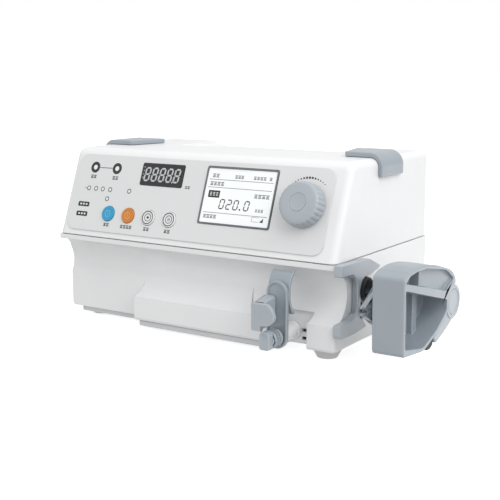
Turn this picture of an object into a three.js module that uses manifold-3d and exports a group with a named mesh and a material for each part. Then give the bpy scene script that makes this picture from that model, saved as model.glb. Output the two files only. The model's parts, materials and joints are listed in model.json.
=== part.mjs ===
// Syringe-type infusion pump, in millimetres, +Z up.
// Working frame: X = 0 at the middle of the casing, Y = 0 at the front plane with +Y to the rear, Z = 0 on the table.
// The exported group moves that frame so that the origin is the bottom centre of the whole object's box.
import * as THREE from 'three';
import { mergeVertices } from 'three/addons/utils/BufferGeometryUtils.js';
import Module from 'manifold-3d';

const wasm = await Module();
wasm.setup();

// ---- driving dimensions ----
const CASE_WIDTH = 290;
const CASE_DEPTH = 175;
const CASE_TOP = 156.3;
const SEAM = 78.9;
const CASE_BOTTOM = 8;
const WALL = 2.5;
const PANEL_RUN = 29.2;
const CASE_ROUND = 6;
const CASE_BEVEL = 4;
const GAP = 0.3;
const RIGHT = CASE_WIDTH / 2;
const LEFT = -CASE_WIDTH / 2;
const PANEL_RISE = CASE_TOP - SEAM;
const PANEL_LENGTH = Math.hypot(PANEL_RUN, PANEL_RISE);

// syringe cradle: an arc about an axis along X
const CRADLE = { y: -3, z: 52, radius: 22.5 };
const LEFT_STEP = { right: -56.7, depth: 16.5, round: 13 };
const CLAMP_BAY = { left: 90, right: 119.7, depth: 15, top: 36 };

// axes that run along X through the right-hand wall
const TUBE = { y: 40, z: 54, radius: 8 };
const GUIDE = { y: 31, z: 37.5, radius: 1.8 };
const SCREW = { y: 64, z: 54, radius: 4 };
const RUNNING = 0.1;

// drive head
const HEAD = { left: 186, right: 212, back: 190.5 };
const LEVER_PIVOT = { y: 78, z: 44, radius: 14 };
const HEAD_PLATE = { left: 182, right: 185.7 };
const CLAW_PIVOT = { y: 22, z: 48.4, spread: 7 };
const PLUNGER = { y: 4, z: 48.4 };

// syringe clamp, on a rod along Y
const CLAMP = { x: 99, z: 18.5, rod: 5, armHalf: 9.5, armTop: 63.8, armFront: -12.3, armBack: -8.6 };

// gear train
const GEAR_MODULE = 0.9;
const SCREW_TEETH = 42;
const MOTOR_TEETH = 14;
const GEAR_X = [-70, -62];
const GEAR_DISTANCE = (GEAR_MODULE * (SCREW_TEETH + MOTOR_TEETH)) / 2;

// fascia, measured in the sloping panel's own frame: x, distance up the slope, height off the panel
const OVERLAY = { left: -136.5, right: 131.5, low: 5.5, high: 76.5, round: 9, thick: 0.8 };
const BUTTON = { radius: 6.85, up: 22.4, first: -89.9, pitch: 22.9 };
const BUTTON_NAMES = ['start_button', 'stop_button', 'purge_button', 'mute_button'];
const LED_WINDOW = { x: -38.5, up: 61.1, width: 46, height: 20 };
const LCD = { x: 44, up: 47.2, width: 71, height: 50, rim: 2.6 };
const KNOB = { x: 109, up: 44.5, radius: 18.8, height: 12.4 };

// ---- materials ----
const WHITE = [0xf2f3f3, 0.4, 0];
const PALE = [0xdfe2e3, 0.45, 0];
const SLATE = [0xa3acb5, 0.45, 0];
const STEEL = [0xb9bdc1, 0.3, 1];
const BLACK = [0x1c1e20, 0.6, 0];
const BOARD = [0x1f5a3a, 0.6, 0];
const BUTTON_COLOURS = { start_button: [0x2796cf, 0.4, 0], stop_button: [0xe07a1f, 0.4, 0] };

// ---- shape helpers ----
const TO_X = new THREE.Matrix4().makeBasis(
  new THREE.Vector3(0, 1, 0), new THREE.Vector3(0, 0, 1), new THREE.Vector3(1, 0, 0));
const TO_Y = new THREE.Matrix4().makeBasis(
  new THREE.Vector3(1, 0, 0), new THREE.Vector3(0, 0, 1), new THREE.Vector3(0, -1, 0));

// A closed outline of [a, b, corner radius] points, with each corner rounded by its radius.
function outline(corners) {
  const shape = new THREE.Shape();
  corners.forEach(([a, b, radius = 0], i) => {
    const here = new THREE.Vector2(a, b);
    const toward = (j) => {
      const [c, d] = corners[(j + corners.length) % corners.length];
      const step = new THREE.Vector2(c, d).sub(here);
      return here.clone().add(step.setLength(radius));
    };
    const enter = radius ? toward(i - 1) : here;
    const leave = radius ? toward(i + 1) : here;
    if (i === 0) shape.moveTo(enter.x, enter.y);
    else shape.lineTo(enter.x, enter.y);
    if (radius) shape.quadraticCurveTo(here.x, here.y, leave.x, leave.y);
  });
  shape.closePath();
  return shape;
}

// Extrudes a shape from 0 to depth, with its end edges bevelled.
function extrude(shape, depth, bevel = 0, curveSegments = 4) {
  const geometry = new THREE.ExtrudeGeometry(shape, {
    depth: depth - 2 * bevel,
    bevelEnabled: bevel > 0,
    bevelThickness: bevel,
    bevelSize: bevel,
    bevelOffset: -bevel,
    bevelSegments: 3,
    curveSegments,
  });
  return geometry.translate(0, 0, bevel);
}

// (y, z) outline extruded along X from x0 to x1.
function alongX(corners, x0, x1, bevel, curveSegments) {
  const shape = Array.isArray(corners) ? outline(corners) : corners;
  return extrude(shape, x1 - x0, bevel, curveSegments).applyMatrix4(TO_X).translate(x0, 0, 0);
}

// (x, z) outline extruded along Y from y0 to y1.
function alongY(corners, y0, y1, bevel, curveSegments) {
  const shape = Array.isArray(corners) ? outline(corners) : corners;
  return extrude(shape, y1 - y0, bevel, curveSegments).applyMatrix4(TO_Y).translate(0, y1, 0);
}

// (x, y) outline extruded along Z from z0 to z1.
function alongZ(corners, z0, z1, bevel, curveSegments) {
  const shape = Array.isArray(corners) ? outline(corners) : corners;
  return extrude(shape, z1 - z0, bevel, curveSegments).translate(0, 0, z0);
}

function block(x0, x1, y0, y1, z0, z1) {
  const geometry = new THREE.BoxGeometry(x1 - x0, y1 - y0, z1 - z0);
  return geometry.translate((x0 + x1) / 2, (y0 + y1) / 2, (z0 + z1) / 2);
}

// A cylinder about Z, from z0 to z1.
function discZ(x, y, radius, z0, z1, sides = 32) {
  const geometry = new THREE.CylinderGeometry(radius, radius, z1 - z0, sides);
  return geometry.rotateX(Math.PI / 2).translate(x, y, (z0 + z1) / 2);
}

// A cylinder about X, from x0 to x1.
function rodX(axis, radius, x0, x1, sides = 32) {
  const geometry = new THREE.CylinderGeometry(radius, radius, x1 - x0, sides);
  return geometry.rotateZ(-Math.PI / 2).translate((x0 + x1) / 2, axis.y, axis.z);
}

// A cylinder about Y, from y0 to y1.
function rodY(x, z, radius, y0, y1, sides = 32) {
  const geometry = new THREE.CylinderGeometry(radius, radius, y1 - y0, sides);
  return geometry.translate(x, (y0 + y1) / 2, z);
}

// A turned piece about Z whose [radius, height] profile starts and ends on the axis.
function turned(profile, sides = 32) {
  const points = profile.map(([radius, height]) => new THREE.Vector2(radius, height));
  return new THREE.LatheGeometry(points, sides).rotateX(Math.PI / 2);
}

// ---- joining and cutting ----
function toSolid(geometry) {
  const plain = geometry.clone();
  plain.deleteAttribute('normal');
  plain.deleteAttribute('uv');
  const merged = mergeVertices(plain, 1e-4);
  const vertProperties = new Float32Array(merged.attributes.position.array);
  const triVerts = new Uint32Array(merged.index.array);
  return new wasm.Manifold(new wasm.Mesh({ numProp: 3, vertProperties, triVerts }));
}

function toGeometry(solid) {
  const { vertProperties, triVerts } = solid.getMesh();
  const geometry = new THREE.BufferGeometry();
  geometry.setAttribute('position', new THREE.BufferAttribute(new Float32Array(vertProperties), 3));
  geometry.setIndex(new THREE.BufferAttribute(new Uint32Array(triVerts), 1));
  geometry.computeVertexNormals();
  return geometry;
}

function cut(base, ...tools) {
  return toGeometry(tools.reduce((solid, tool) => solid.subtract(toSolid(tool)), toSolid(base)));
}

function join(base, ...others) {
  return toGeometry(others.reduce((solid, other) => solid.add(toSolid(other)), toSolid(base)));
}

function common(a, b) {
  return toGeometry(toSolid(a).intersect(toSolid(b)));
}

function mesh(name, geometry, [color, roughness, metalness]) {
  const made = new THREE.Mesh(geometry, new THREE.MeshStandardMaterial({ color, roughness, metalness }));
  made.name = name;
  return made;
}

// ---- the sloping panel's frame ----
const PANEL_TURN = Math.acos(PANEL_RUN / PANEL_LENGTH);

function panelGroup() {
  const group = new THREE.Group();
  group.position.set(0, 0, SEAM);
  group.rotation.x = PANEL_TURN;
  return group;
}

function onPanel(geometry) {
  const place = panelGroup();
  place.updateMatrix();
  return geometry.clone().applyMatrix4(place.matrix);
}

function panelRect({ x, up, width, height }, grow, z0, z1, round = 1.5) {
  const w = width / 2 + grow;
  const h = height / 2 + grow;
  const corners = [[x - w, up - h, round], [x + w, up - h, round], [x + w, up + h, round], [x - w, up + h, round]];
  return alongZ(corners, z0, z1, 0, 3);
}

function buttonPlaces() {
  return BUTTON_NAMES.map((name, i) => ({ name, x: BUTTON.first + i * BUTTON.pitch, up: BUTTON.up }));
}

// ---- upper casing ----
const frontAt = (z) => ((z - SEAM) * PANEL_RUN) / PANEL_RISE;

// The casing's outer block, grown by a distance on every side but the open bottom.
function upperBlock(grow) {
  const low = SEAM - 15;
  const top = CASE_TOP + grow;
  const slant = grow / (PANEL_RISE / PANEL_LENGTH);
  const round = CASE_ROUND;
  const corners = [
    [frontAt(low) - slant, low],
    [CASE_DEPTH + grow, low],
    [CASE_DEPTH + grow, top, round],
    [frontAt(top) - slant, top, round],
  ];
  return alongX(corners, LEFT - grow, RIGHT + grow, CASE_BEVEL, 3);
}

const TOP_HOLLOW = { half: 82, front: 98, floor: 150.6, round: 9 };

function topHollow(grow) {
  const { half, front, floor, round } = TOP_HOLLOW;
  const rim = CASE_TOP + 10;
  const corners = [
    [-half - grow, floor - grow, round],
    [half + grow, floor - grow, round],
    [half + 14 + grow, rim],
    [-half - 14 - grow, rim],
  ];
  return alongY(corners, front - grow, CASE_DEPTH + 20, 0, 3);
}

function upperCasing() {
  const keep = block(-200, 200, -60, 300, SEAM + GAP, 200);
  const outer = cut(upperBlock(0), topHollow(0));
  const inner = cut(upperBlock(-WALL), topHollow(WALL));
  const openings = [
    panelRect(LED_WINDOW, -1, -8, 5),
    panelRect(LCD, -LCD.rim, -8, 5),
    discZ(KNOB.x, KNOB.up, 5, -8, 5),
    ...buttonPlaces().map(({ x, up }) => discZ(x, up, BUTTON.radius + 0.5, -8, 5)),
  ].map(onPanel);
  return mesh('upper_casing', cut(common(outer, keep), inner, ...openings), WHITE);
}

// ---- lower casing ----
function lowerBlock(grow) {
  const corners = [
    [-grow, CASE_BOTTOM - grow, 3],
    [CASE_DEPTH + grow, CASE_BOTTOM - grow, 3],
    [CASE_DEPTH + grow, SEAM + 10],
    [-grow, SEAM + 10],
  ];
  return alongX(corners, LEFT - grow, RIGHT + grow, 2.5, 2);
}

// What is scooped out of the front: the cradle, the step at the left and the bay behind the clamp.
function frontScoops(grow) {
  const { right, depth, round } = LEFT_STEP;
  const step = [[-30, -10], [depth + grow, -10], [depth + grow, 74.3 + grow, round], [-30, 74.3 + grow]];
  const bay = CLAMP_BAY;
  return [
    rodX(CRADLE, CRADLE.radius + grow, LEFT - 20, RIGHT + 20, 72),
    alongX(step, LEFT - 20, right + grow, 0, 6),
    block(bay.left - grow, bay.right + grow, -30, bay.depth + grow, -10, bay.top + grow),
  ];
}

const REAR_WINDOW = { x0: -104, x1: -22, z0: 20, z1: 62 };

function lowerCasing() {
  const keep = block(-200, 200, -60, 300, 0, SEAM - GAP);
  const outer = cut(lowerBlock(0), ...frontScoops(0));
  const inner = cut(lowerBlock(-WALL), ...frontScoops(WALL));
  const { x0, x1, z0, z1 } = REAR_WINDOW;
  const openings = [
    rodX(TUBE, TUBE.radius + 0.8, RIGHT - 10, RIGHT + 10, 40),
    rodX(GUIDE, GUIDE.radius + 0.6, RIGHT - 10, RIGHT + 10, 16),
    rodY(CLAMP.x, CLAMP.z, CLAMP.rod + 1.8, CLAMP_BAY.depth - 5, CLAMP_BAY.depth + 10, 32),
    block(x0, x1, CASE_DEPTH - 8, CASE_DEPTH + 8, z0, z1),
    block(107, 118.5, CLAMP_BAY.depth - 5, CLAMP_BAY.depth + 5, 18, 20.8),
    block(107, 118.5, CLAMP_BAY.depth - 5, CLAMP_BAY.depth + 5, 11.4, 14),
  ];
  return mesh('lower_casing', cut(common(outer, keep), inner, ...openings), WHITE);
}

// A shallow tray under the left part of the casing.
function bottomCover() {
  const inset = 3;
  const corners = [
    [LEFT + 8, LEFT_STEP.depth + inset, 3],
    [LEFT_STEP.right + inset, LEFT_STEP.depth + inset],
    [LEFT_STEP.right + inset, inset],
    [CLAMP_BAY.left - inset, inset, 3],
    [CLAMP_BAY.left - inset, CASE_DEPTH - 6, 3],
    [LEFT + 8, CASE_DEPTH - 6, 3],
  ];
  return mesh('bottom_cover', alongZ(corners, 3, CASE_BOTTOM - GAP, 0, 2), PALE);
}

const FEET = {
  foot_front_left: { x: -124, y: 34, top: 3 - GAP },
  foot_rear_left: { x: -124, y: 155, top: 3 - GAP },
  foot_front_right: { x: 129, y: 18, top: CASE_BOTTOM - GAP },
  foot_rear_right: { x: 129, y: 155, top: CASE_BOTTOM - GAP },
};

function foot(name, { x, y, top }) {
  const base = 8.5;
  const flare = base + top * 0.5;
  const made = mesh(name, turned([[0, 0], [base, 0], [flare, top], [0, top]], 28), PALE);
  made.position.set(x, y, 0);
  return made;
}

// ---- corner bumpers ----
const BUMPER = { front: 70, back: 111.5, crest: 160.8, reach: 149, leg: 140.8, innerFront: 114, innerBack: 104 };

// Each bumper is one band that lies over a top corner and turns down the side wall.
function bumper(name, side) {
  const { front, back, crest, reach, leg, innerFront, innerBack } = BUMPER;
  const section = [
    [innerBack - 3, CASE_TOP - 3],
    [RIGHT - 8, CASE_TOP - 8],
    [RIGHT - 8, leg],
    [reach, leg, 1],
    [reach, crest, 11],
    [innerBack - 3, crest],
  ];
  const plan = [
    [innerFront, front],
    [reach + 5, front],
    [reach + 5, back],
    [innerBack, back],
  ];
  const pad = common(alongY(section, front, back, 0, 6), alongZ(plan, leg - 5, crest, 1.2));
  const shaped = cut(pad, upperBlock(GAP));
  const geometry = side > 0 ? shaped : toGeometry(toSolid(shaped).mirror([1, 0, 0]));
  return mesh(name, geometry, SLATE);
}

// ---- fascia ----
function frontOverlay() {
  const { left, right, low, high, round, thick } = OVERLAY;
  const corners = [[left, low, round], [right, low, round], [right, high, round], [left, high, round]];
  const holes = [
    panelRect(LED_WINDOW, GAP, -1, 4),
    panelRect(LCD, GAP, -1, 4),
    discZ(KNOB.x, KNOB.up, 5, -1, 4),
    ...buttonPlaces().map(({ x, up }) => discZ(x, up, BUTTON.radius + 0.3, -1, 4)),
  ];
  return mesh('front_overlay', cut(alongZ(corners, GAP, GAP + thick, 0, 6), ...holes), PALE);
}

function ledWindow() {
  const pane = panelRect(LED_WINDOW, 0, GAP, 1.5);
  return mesh('led_window', join(pane, panelRect(LED_WINDOW, -1.3, -2, 1)), BLACK);
}

function lcdBezel() {
  const ring = cut(panelRect(LCD, 0, GAP, 1.9), panelRect(LCD, -LCD.rim, -1, 4));
  return mesh('lcd_bezel', ring, SLATE);
}

function lcdGlass() {
  return mesh('lcd_glass', panelRect(LCD, -LCD.rim - GAP, -1.5, 1.1), PALE);
}

function lcdModule() {
  return mesh('lcd_module', panelRect(LCD, -1, -9, -WALL - GAP), STEEL);
}

function ledDisplay() {
  return mesh('led_display', panelRect(LED_WINDOW, -1.5, -11.5, -WALL), BLACK);
}

function pressButton({ name, x, up }) {
  const flange = BUTTON.radius + 1.3;
  const r = BUTTON.radius;
  const profile = [[0, -4.6], [flange, -4.6], [flange, -3.1], [r, -3.1], [r, 1.7], [r - 0.8, 2.3], [0, 2.3]];
  const made = mesh(name, turned(profile, 20), BUTTON_COLOURS[name] ?? WHITE);
  made.position.set(x, up, 0);
  return made;
}

function displayBoard() {
  const corners = [[-133, 8], [129, 8], [129, 75], [-133, 75]];
  return mesh('display_board', alongZ(corners, -14.4, -12.8), BOARD);
}

function encoder() {
  const body = alongZ([[-7, -7, 1], [7, -7, 1], [7, 7, 1], [-7, 7, 1]], -12.5, -4, 0, 2);
  const made = mesh('encoder', cut(body, discZ(0, 0, 3 + RUNNING, -11, 0)), STEEL);
  made.position.set(KNOB.x, KNOB.up, 0);
  return made;
}

function encoderShaft() {
  const made = mesh('encoder_shaft', discZ(0, 0, 3, -10, 9), STEEL);
  made.position.set(KNOB.x, KNOB.up, 0);
  return made;
}

// The knob's rim is scalloped by shallow finger grooves.
function knob() {
  const { radius, height } = KNOB;
  const base = 2.4;
  const top = base + height;
  const profile = [
    [0, base], [radius - 0.6, base], [radius, base + 0.8], [radius - 0.5, top - 3],
    [radius - 2.6, top - 0.6], [radius - 4.5, top], [7.7, top], [7.7, top - 1.2], [0, top - 1.2],
  ];
  const flutes = Array.from({ length: 12 }, (_, i) => {
    const angle = (i * Math.PI) / 6;
    const distance = radius + 3.6;
    return discZ(distance * Math.cos(angle), distance * Math.sin(angle), 4.4, 0, top + 2, 14);
  });
  const bore = discZ(0, 0, 3 + RUNNING, 0, 9 + GAP);
  const made = mesh('knob', cut(turned(profile, 48), bore, ...flutes), SLATE);
  made.position.set(KNOB.x, KNOB.up, 0);
  return made;
}

function knobCap() {
  const top = 2.4 + KNOB.height;
  const profile = [[0, top - 0.9], [7.3, top - 0.9], [7.3, top - 0.2], [4, top - 0.6], [0, top - 0.7]];
  const made = mesh('knob_cap', turned(profile, 36), PALE);
  made.position.set(KNOB.x, KNOB.up, 0);
  return made;
}

function fascia() {
  const group = panelGroup();
  group.add(frontOverlay(), ledWindow(), lcdBezel(), lcdGlass(), lcdModule(), ledDisplay());
  group.add(displayBoard(), encoder(), encoderShaft(), knob(), knobCap());
  buttonPlaces().forEach((place) => group.add(pressButton(place)));
  return group;
}

// ---- flange slot and seal on the right-hand end ----
function endTrim() {
  const plate = [
    [-3.4, 80, 1.5], [-3.4, 70.4, 1.5], [17, 69.8, 2], [25, 63, 5], [25.5, 37.5, 5], [17, 33.5, 4],
    [-4.4, 32.6, 2], [-4.4, 21.4, 4], [20.9, 21.2, 4], [42, 23.2, 3], [34, 31, 3], [31, 44, 6],
    [34, 63.5, 6], [60, 67, 1], [65.4, 69.6, 2], [44.8, 78.5, 4],
  ];
  const outer = RIGHT + 7;
  const body = alongX(plate, RIGHT + GAP, outer, 0, 4);
  const slot = block(RIGHT, RIGHT + 5, -12, 27.5, 36.5, 66);
  const sealRoom = rodX(TUBE, 11, RIGHT, outer + 1, 40);
  const rodRoom = rodX(GUIDE, GUIDE.radius + 0.6, RIGHT, outer + 1, 16);
  return mesh('end_trim', cut(body, slot, sealRoom, rodRoom), SLATE);
}

function tubeSeal() {
  const inner = TUBE.radius + RUNNING;
  const face = RIGHT + GAP;
  const profile = [
    [inner, 0], [10.6, 0], [10.6, 3], [9.9, 4], [10.4, 5.2], [9.6, 6.4], [10, 7.6], [9.2, 8.8], [inner, 8.8], [inner, 0],
  ];
  const points = profile.map(([radius, height]) => new THREE.Vector2(radius, height));
  const ring = new THREE.LatheGeometry(points, 28).rotateZ(-Math.PI / 2);
  return mesh('tube_seal', ring.translate(face, TUBE.y, TUBE.z), BLACK);
}

// ---- drive head and what moves with it ----
const CARRIAGE = { left: -6, right: 20 };

function driveTube() {
  const tube = cut(
    rodX(TUBE, TUBE.radius, CARRIAGE.right + GAP, HEAD_PLATE.right, 28),
    rodX(TUBE, 4.5, CARRIAGE.right - 5, HEAD_PLATE.right + 5, 16),
  );
  return mesh('drive_tube', tube, BLACK);
}

function clutchRod() {
  const rod = rodX(TUBE, 3, CARRIAGE.left + 2, HEAD.left + 2.5, 16);
  const vane = block(CARRIAGE.left + 2, CARRIAGE.left + 8, TUBE.y, TUBE.y + 7, TUBE.z - 1.5, TUBE.z + 1.5);
  return mesh('clutch_rod', join(rod, vane), STEEL);
}

function guideRod() {
  return mesh('guide_rod', rodX(GUIDE, GUIDE.radius, CARRIAGE.right + GAP, HEAD_PLATE.left - GAP, 12), STEEL);
}

function carriage() {
  const { left, right } = CARRIAGE;
  const section = [[28, 34, 2], [54, 34, 2], [54, 42, 1], [76, 42, 2], [76, 66, 2], [28, 66, 2]];
  const body = alongX(section, left, right, 0, 2);
  const screwRoom = rodX(SCREW, SCREW.radius + 1, left - 5, right + 5, 24);
  const nutRoom = block(left + 5, right - 5, 57, 71, 30, 54);
  const rodRoom = rodX(TUBE, 3.4, left - 5, right + 5, 16);
  const vaneRoom = block(left - 5, left + 12, 36.5, 51.5, 46, 63);
  return mesh('carriage', cut(body, screwRoom, nutRoom, rodRoom, vaneRoom), STEEL);
}

function halfNut() {
  const { left, right } = CARRIAGE;
  const body = block(left + 5.3, right - 5.3, 57.3, 70.7, 43, 53.5);
  return mesh('half_nut', cut(body, rodX(SCREW, SCREW.radius + RUNNING, left, right, 24)), [0xb08d4a, 0.35, 1]);
}

const HEAD_OUTLINE = [
  [-19.2, 20.6, 3], [-20.3, 79, 3], [-12, 83, 4], [4, 84.6, 6], [20, 83.8, 6], [42, 79.8, 6],
  [70, 71.8, 5], [79.5, 64, 4], [79.5, 59],
];
const HEAD_RAMP = [[62, 36.6, 2], [42, 25, 6], [19, 16.8, 5]];

// Pockets in the head's outer face: the finger pocket, a smaller one above its web, and a shallow panel.
const LOWER_POCKET = [
  [-17.4, 70.4, 2], [-16.4, 25.8, 3], [17, 19.8, 4], [41.2, 27.8, 4], [61.4, 39.4, 3], [61.8, 48.8, 2],
];
const UPPER_POCKET = [[-17.4, 75.6, 1], [18, 66.8, 1], [18, 80.6, 1], [4, 81.4, 4], [-11, 79.8, 3]];
const SHALLOW_POCKET = [[17.5, 66.9], [60.6, 55.9, 4], [64.6, 60.4, 3], [74.8, 63.4, 3], [59, 73.4, 5], [17.5, 81.2]];

function headHousing() {
  const { left, right, back } = HEAD;
  const body = alongX([...HEAD_OUTLINE, [68, 50, 2], ...HEAD_RAMP], left, right, 0.8, 3);
  const pockets = [
    alongX(LOWER_POCKET, back, right + 5),
    alongX(UPPER_POCKET, right - 14, right + 5),
    alongX(SHALLOW_POCKET, right - 4, right + 5),
  ];
  const rib = alongX([[32, 24], [40, 26], [40, 56], [32, 58]], back - 1, back + 5);
  const seat = rodX(LEVER_PIVOT, 11, left, left + 5, 32);
  const pinRoom = rodX(LEVER_PIVOT, 4.1, left - 5, left + 10, 24);
  const rodRoom = rodX(TUBE, 3.4, left - 5, left + 3, 16);
  const leverRoom = rodX(LEVER_PIVOT, LEVER_PIVOT.radius + 0.8, left + 5, right + 5, 40);
  const hollow = cut(body, ...pockets, leverRoom);
  return mesh('head_housing', cut(join(hollow, rib, seat), pinRoom, rodRoom), SLATE);
}

// The plate that closes the head towards the casing and carries the claws.
function headPlate() {
  const plate = [[-8, 30, 5], [52, 30, 5], [52, 76, 8], [-8, 76, 8]];
  const body = alongX(plate, HEAD_PLATE.left, HEAD_PLATE.right, 0, 3);
  const { y, z, spread } = CLAW_PIVOT;
  const claws = [-spread, spread].map((offset) => (
    rodX({ y, z: z + offset }, 2.6 + RUNNING, HEAD_PLATE.left - 1, HEAD_PLATE.right + 1, 20)));
  const sensor = rodX(PLUNGER, 3.5 + RUNNING, HEAD_PLATE.left - 1, HEAD_PLATE.right + 1, 24);
  const tube = rodX(TUBE, TUBE.radius + GAP, HEAD_PLATE.left - 1, HEAD_PLATE.right + 1, 36);
  return mesh('head_plate', cut(body, ...claws, sensor, tube), SLATE);
}

function plungerSensor() {
  const button = rodX(PLUNGER, 3.5, HEAD_PLATE.left - 3.5, HEAD_PLATE.right - 2.5, 24);
  return mesh('plunger_sensor', button, BLACK);
}

// A claw: a pivot pin with a beaked arm. The two arms open to let the plunger's rod in between them.
function claw(name, up) {
  const { y, z, spread } = CLAW_PIVOT;
  const place = (a, b, radius) => [a, z + up * b, radius];
  const corners = [
    place(y + 5, 2, 2), place(y + 5, 11.4, 4), place(y - 4, 13.6, 5), place(PLUNGER.y + 4, 11.8, 3),
    place(PLUNGER.y - 14.7, 2.6, 1), place(PLUNGER.y - 12, 1, 1), place(y - 7, 0.8, 2),
  ];
  const arm = alongX(up > 0 ? corners : corners.toReversed(), HEAD_PLATE.left - 11, HEAD_PLATE.left - 6.5, 0, 4);
  const pin = rodX({ y, z: z + up * spread }, 2.6, HEAD_PLATE.left - 8, HEAD_PLATE.right, 20);
  const collar = rodX({ y, z: z + up * spread }, 4.6, HEAD_PLATE.left - 8, HEAD_PLATE.left - GAP, 20);
  return mesh(name, join(arm, collar, pin), SLATE);
}

// The clutch lever hangs from its pivot disc along the head's underside.
function clutchLever() {
  const disc = rodX(LEVER_PIVOT, LEVER_PIVOT.radius, HEAD.left + 5.4, HEAD.right - 1, 40);
  const arm = alongX([
    [72, 50, 2], [90, 42, 3], [84, 31.5, 5], [60, 20.2, 12], [45.6, 16.4, 2], [41.5, 22.4, 2], [63, 34, 3],
  ], HEAD.left + 6, HEAD.right - 2, 0, 4);
  const pin = rodX(LEVER_PIVOT, 4, HEAD.left + 1, HEAD.left + 8, 24);
  return mesh('clutch_lever', join(disc, arm, pin), SLATE);
}

function leverTip() {
  const tip = alongX([[33.6, 19.4, 2], [41.2, 22, 1], [45.3, 16.2, 1], [40, 12.8, 3], [31.4, 13.6, 3]],
    HEAD.left + 8, HEAD.right - 4, 0, 3);
  return mesh('lever_tip', tip, BLACK);
}

// ---- syringe clamp ----
function clampArm() {
  const { x, z, armHalf, armTop, armFront, armBack } = CLAMP;
  const shape = new THREE.Shape();
  const low = z - 0.2;
  shape.absarc(x, armTop - armHalf, armHalf, 0, Math.PI, false);
  shape.absarc(x, low, armHalf, Math.PI, 2 * Math.PI, false);
  shape.closePath();
  const face = new THREE.Shape();
  const rim = 2.2;
  face.absarc(x, armTop - armHalf, armHalf - rim, 0, Math.PI, false);
  face.absarc(x, low, armHalf - rim, Math.PI, 2 * Math.PI, false);
  face.closePath();
  const plate = alongY(shape, armFront, armBack, 0, 10);
  const recess = alongY(face, armFront - 2, armFront + 1.4, 0, 10);
  const rodRoom = rodY(x, z, CLAMP.rod + GAP, armFront - 5, armBack + 5, 24);
  return mesh('clamp_arm', cut(plate, recess, rodRoom), SLATE);
}

// The curved jaw that bears on the syringe barrel.
function clampJaw() {
  const { x, armBack } = CLAMP;
  const middle = { y: armBack + GAP + 26.1, z: 53.2 };
  const half = 17.2;
  const body = cut(
    rodX(middle, 26.1, x - 10.5, x + 9.5, 96),
    rodX(middle, 23.4, x - 12, x + 12, 96),
    block(x - 20, x + 20, middle.y - 19.6, 60, 0, 110),
  );
  const keep = block(x - 20, x + 20, -20, 20, middle.z - half, middle.z + half);
  return mesh('clamp_jaw', common(body, keep), SLATE);
}

// A D-shaped finger plate on a narrower neck that stands in the arm's recess.
function clampGrip() {
  const { x, armFront } = CLAMP;
  const back = armFront + 1.4 - GAP;
  const plate = [
    [x - 10.6, 27, 2], [x - 2.5, 27, 1], [x - 2.5, 31.2, 1], [x + 5.5, 31.8, 3], [x + 11, 37, 3], [x + 9.6, 44, 3],
    [x + 4.8, 49.4, 3], [x - 10.6, 49.4, 2],
  ];
  const neck = [[x - 10.6, 28, 1], [x - 3, 28, 1], [x - 1, 32, 2], [x - 1, 52, 3], [x - 10.6, 52, 2]];
  const slope = alongX([[-31, 26], [-31, 48.6], [armFront, 52], [back + 1, 52], [back + 1, 26]], x - 12, x + 12);
  const room = cut(
    block(x - 40, x + 40, armFront - GAP, 20, 0, 90),
    block(x - CLAMP.armHalf + 2.6, x + CLAMP.armHalf - 2.6, armFront - 1, back, 0, 90),
  );
  const grip = join(alongY(plate, -33, -29, 0.6, 4), common(alongY(neck, -30, back, 0, 3), slope));
  return mesh('clamp_grip', cut(grip, room), SLATE);
}

// The rod, with a thinner spigot at its front end that carries the end tab.
function clampRod() {
  const { x, z, rod } = CLAMP;
  return mesh('clamp_rod', join(rodY(x, z, rod, -24, 78, 24), rodY(x, z, 2.5, -28, -23, 16)), STEEL);
}

function clampEndTab() {
  const { x, z } = CLAMP;
  const tab = [[x - 4.6, 11.6, 2], [x + 4.6, 11.6, 2], [x + 4.6, 26.6, 4.4], [x - 4.6, 26.6, 4.4]];
  const dimple = new THREE.SphereGeometry(5, 20, 12).translate(x, -34.2, 22.6);
  const bore = rodY(x, z, 2.5 + RUNNING, -28.1, 0, 16);
  return mesh('clamp_end_tab', cut(alongY(tab, -30.4, -24 - GAP, 0, 4), dimple, bore), SLATE);
}

// A coil spring about Y, as one closed tube.
function coilY({ x, z, radius, wire, y0, y1, turns }) {
  class Helix extends THREE.Curve {
    getPoint(t, target = new THREE.Vector3()) {
      const angle = t * turns * 2 * Math.PI;
      return target.set(x + radius * Math.cos(angle), y0 + (y1 - y0) * t, z + radius * Math.sin(angle));
    }
  }
  const section = new THREE.Shape();
  section.absarc(0, 0, wire, 0, 2 * Math.PI, false);
  return new THREE.ExtrudeGeometry(section, {
    extrudePath: new Helix(),
    steps: Math.round(turns * 12),
    curveSegments: 3,
    bevelEnabled: false,
  });
}

function clampFrontSpring() {
  const { x, z } = CLAMP;
  const coil = coilY({ x, z, radius: 6.4, wire: 1, y0: -23, y1: -13.7, turns: 3.5 });
  return mesh('clamp_front_spring', coil, SLATE);
}

function clampReturnSpring() {
  const { x, z } = CLAMP;
  const coil = coilY({ x, z, radius: 6.3, wire: 0.6, y0: 20.4, y1: 70.4, turns: 7 });
  return mesh('clamp_return_spring', coil, STEEL);
}

function clampCollar() {
  const { x, z, rod } = CLAMP;
  return mesh('clamp_collar', cut(rodY(x, z, 7.4, 72, 77, 28), rodY(x, z, rod + RUNNING, 60, 90, 24)), STEEL);
}

// A moulded boss on the bay's rear wall, which the rod runs through.
function clampBushing() {
  const { x, z, rod } = CLAMP;
  const face = CLAMP_BAY.depth;
  const sleeve = rodY(x, z, 6.5, face - 2, face + 4, 28);
  const body = join(sleeve, rodY(x, z, 6.6, -7, face - 2, 28), rodY(x, z, 7.6, face - 3, face - GAP, 28));
  return mesh('clamp_bushing', cut(body, rodY(x, z, rod + RUNNING, -20, 40, 24)), WHITE);
}

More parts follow.
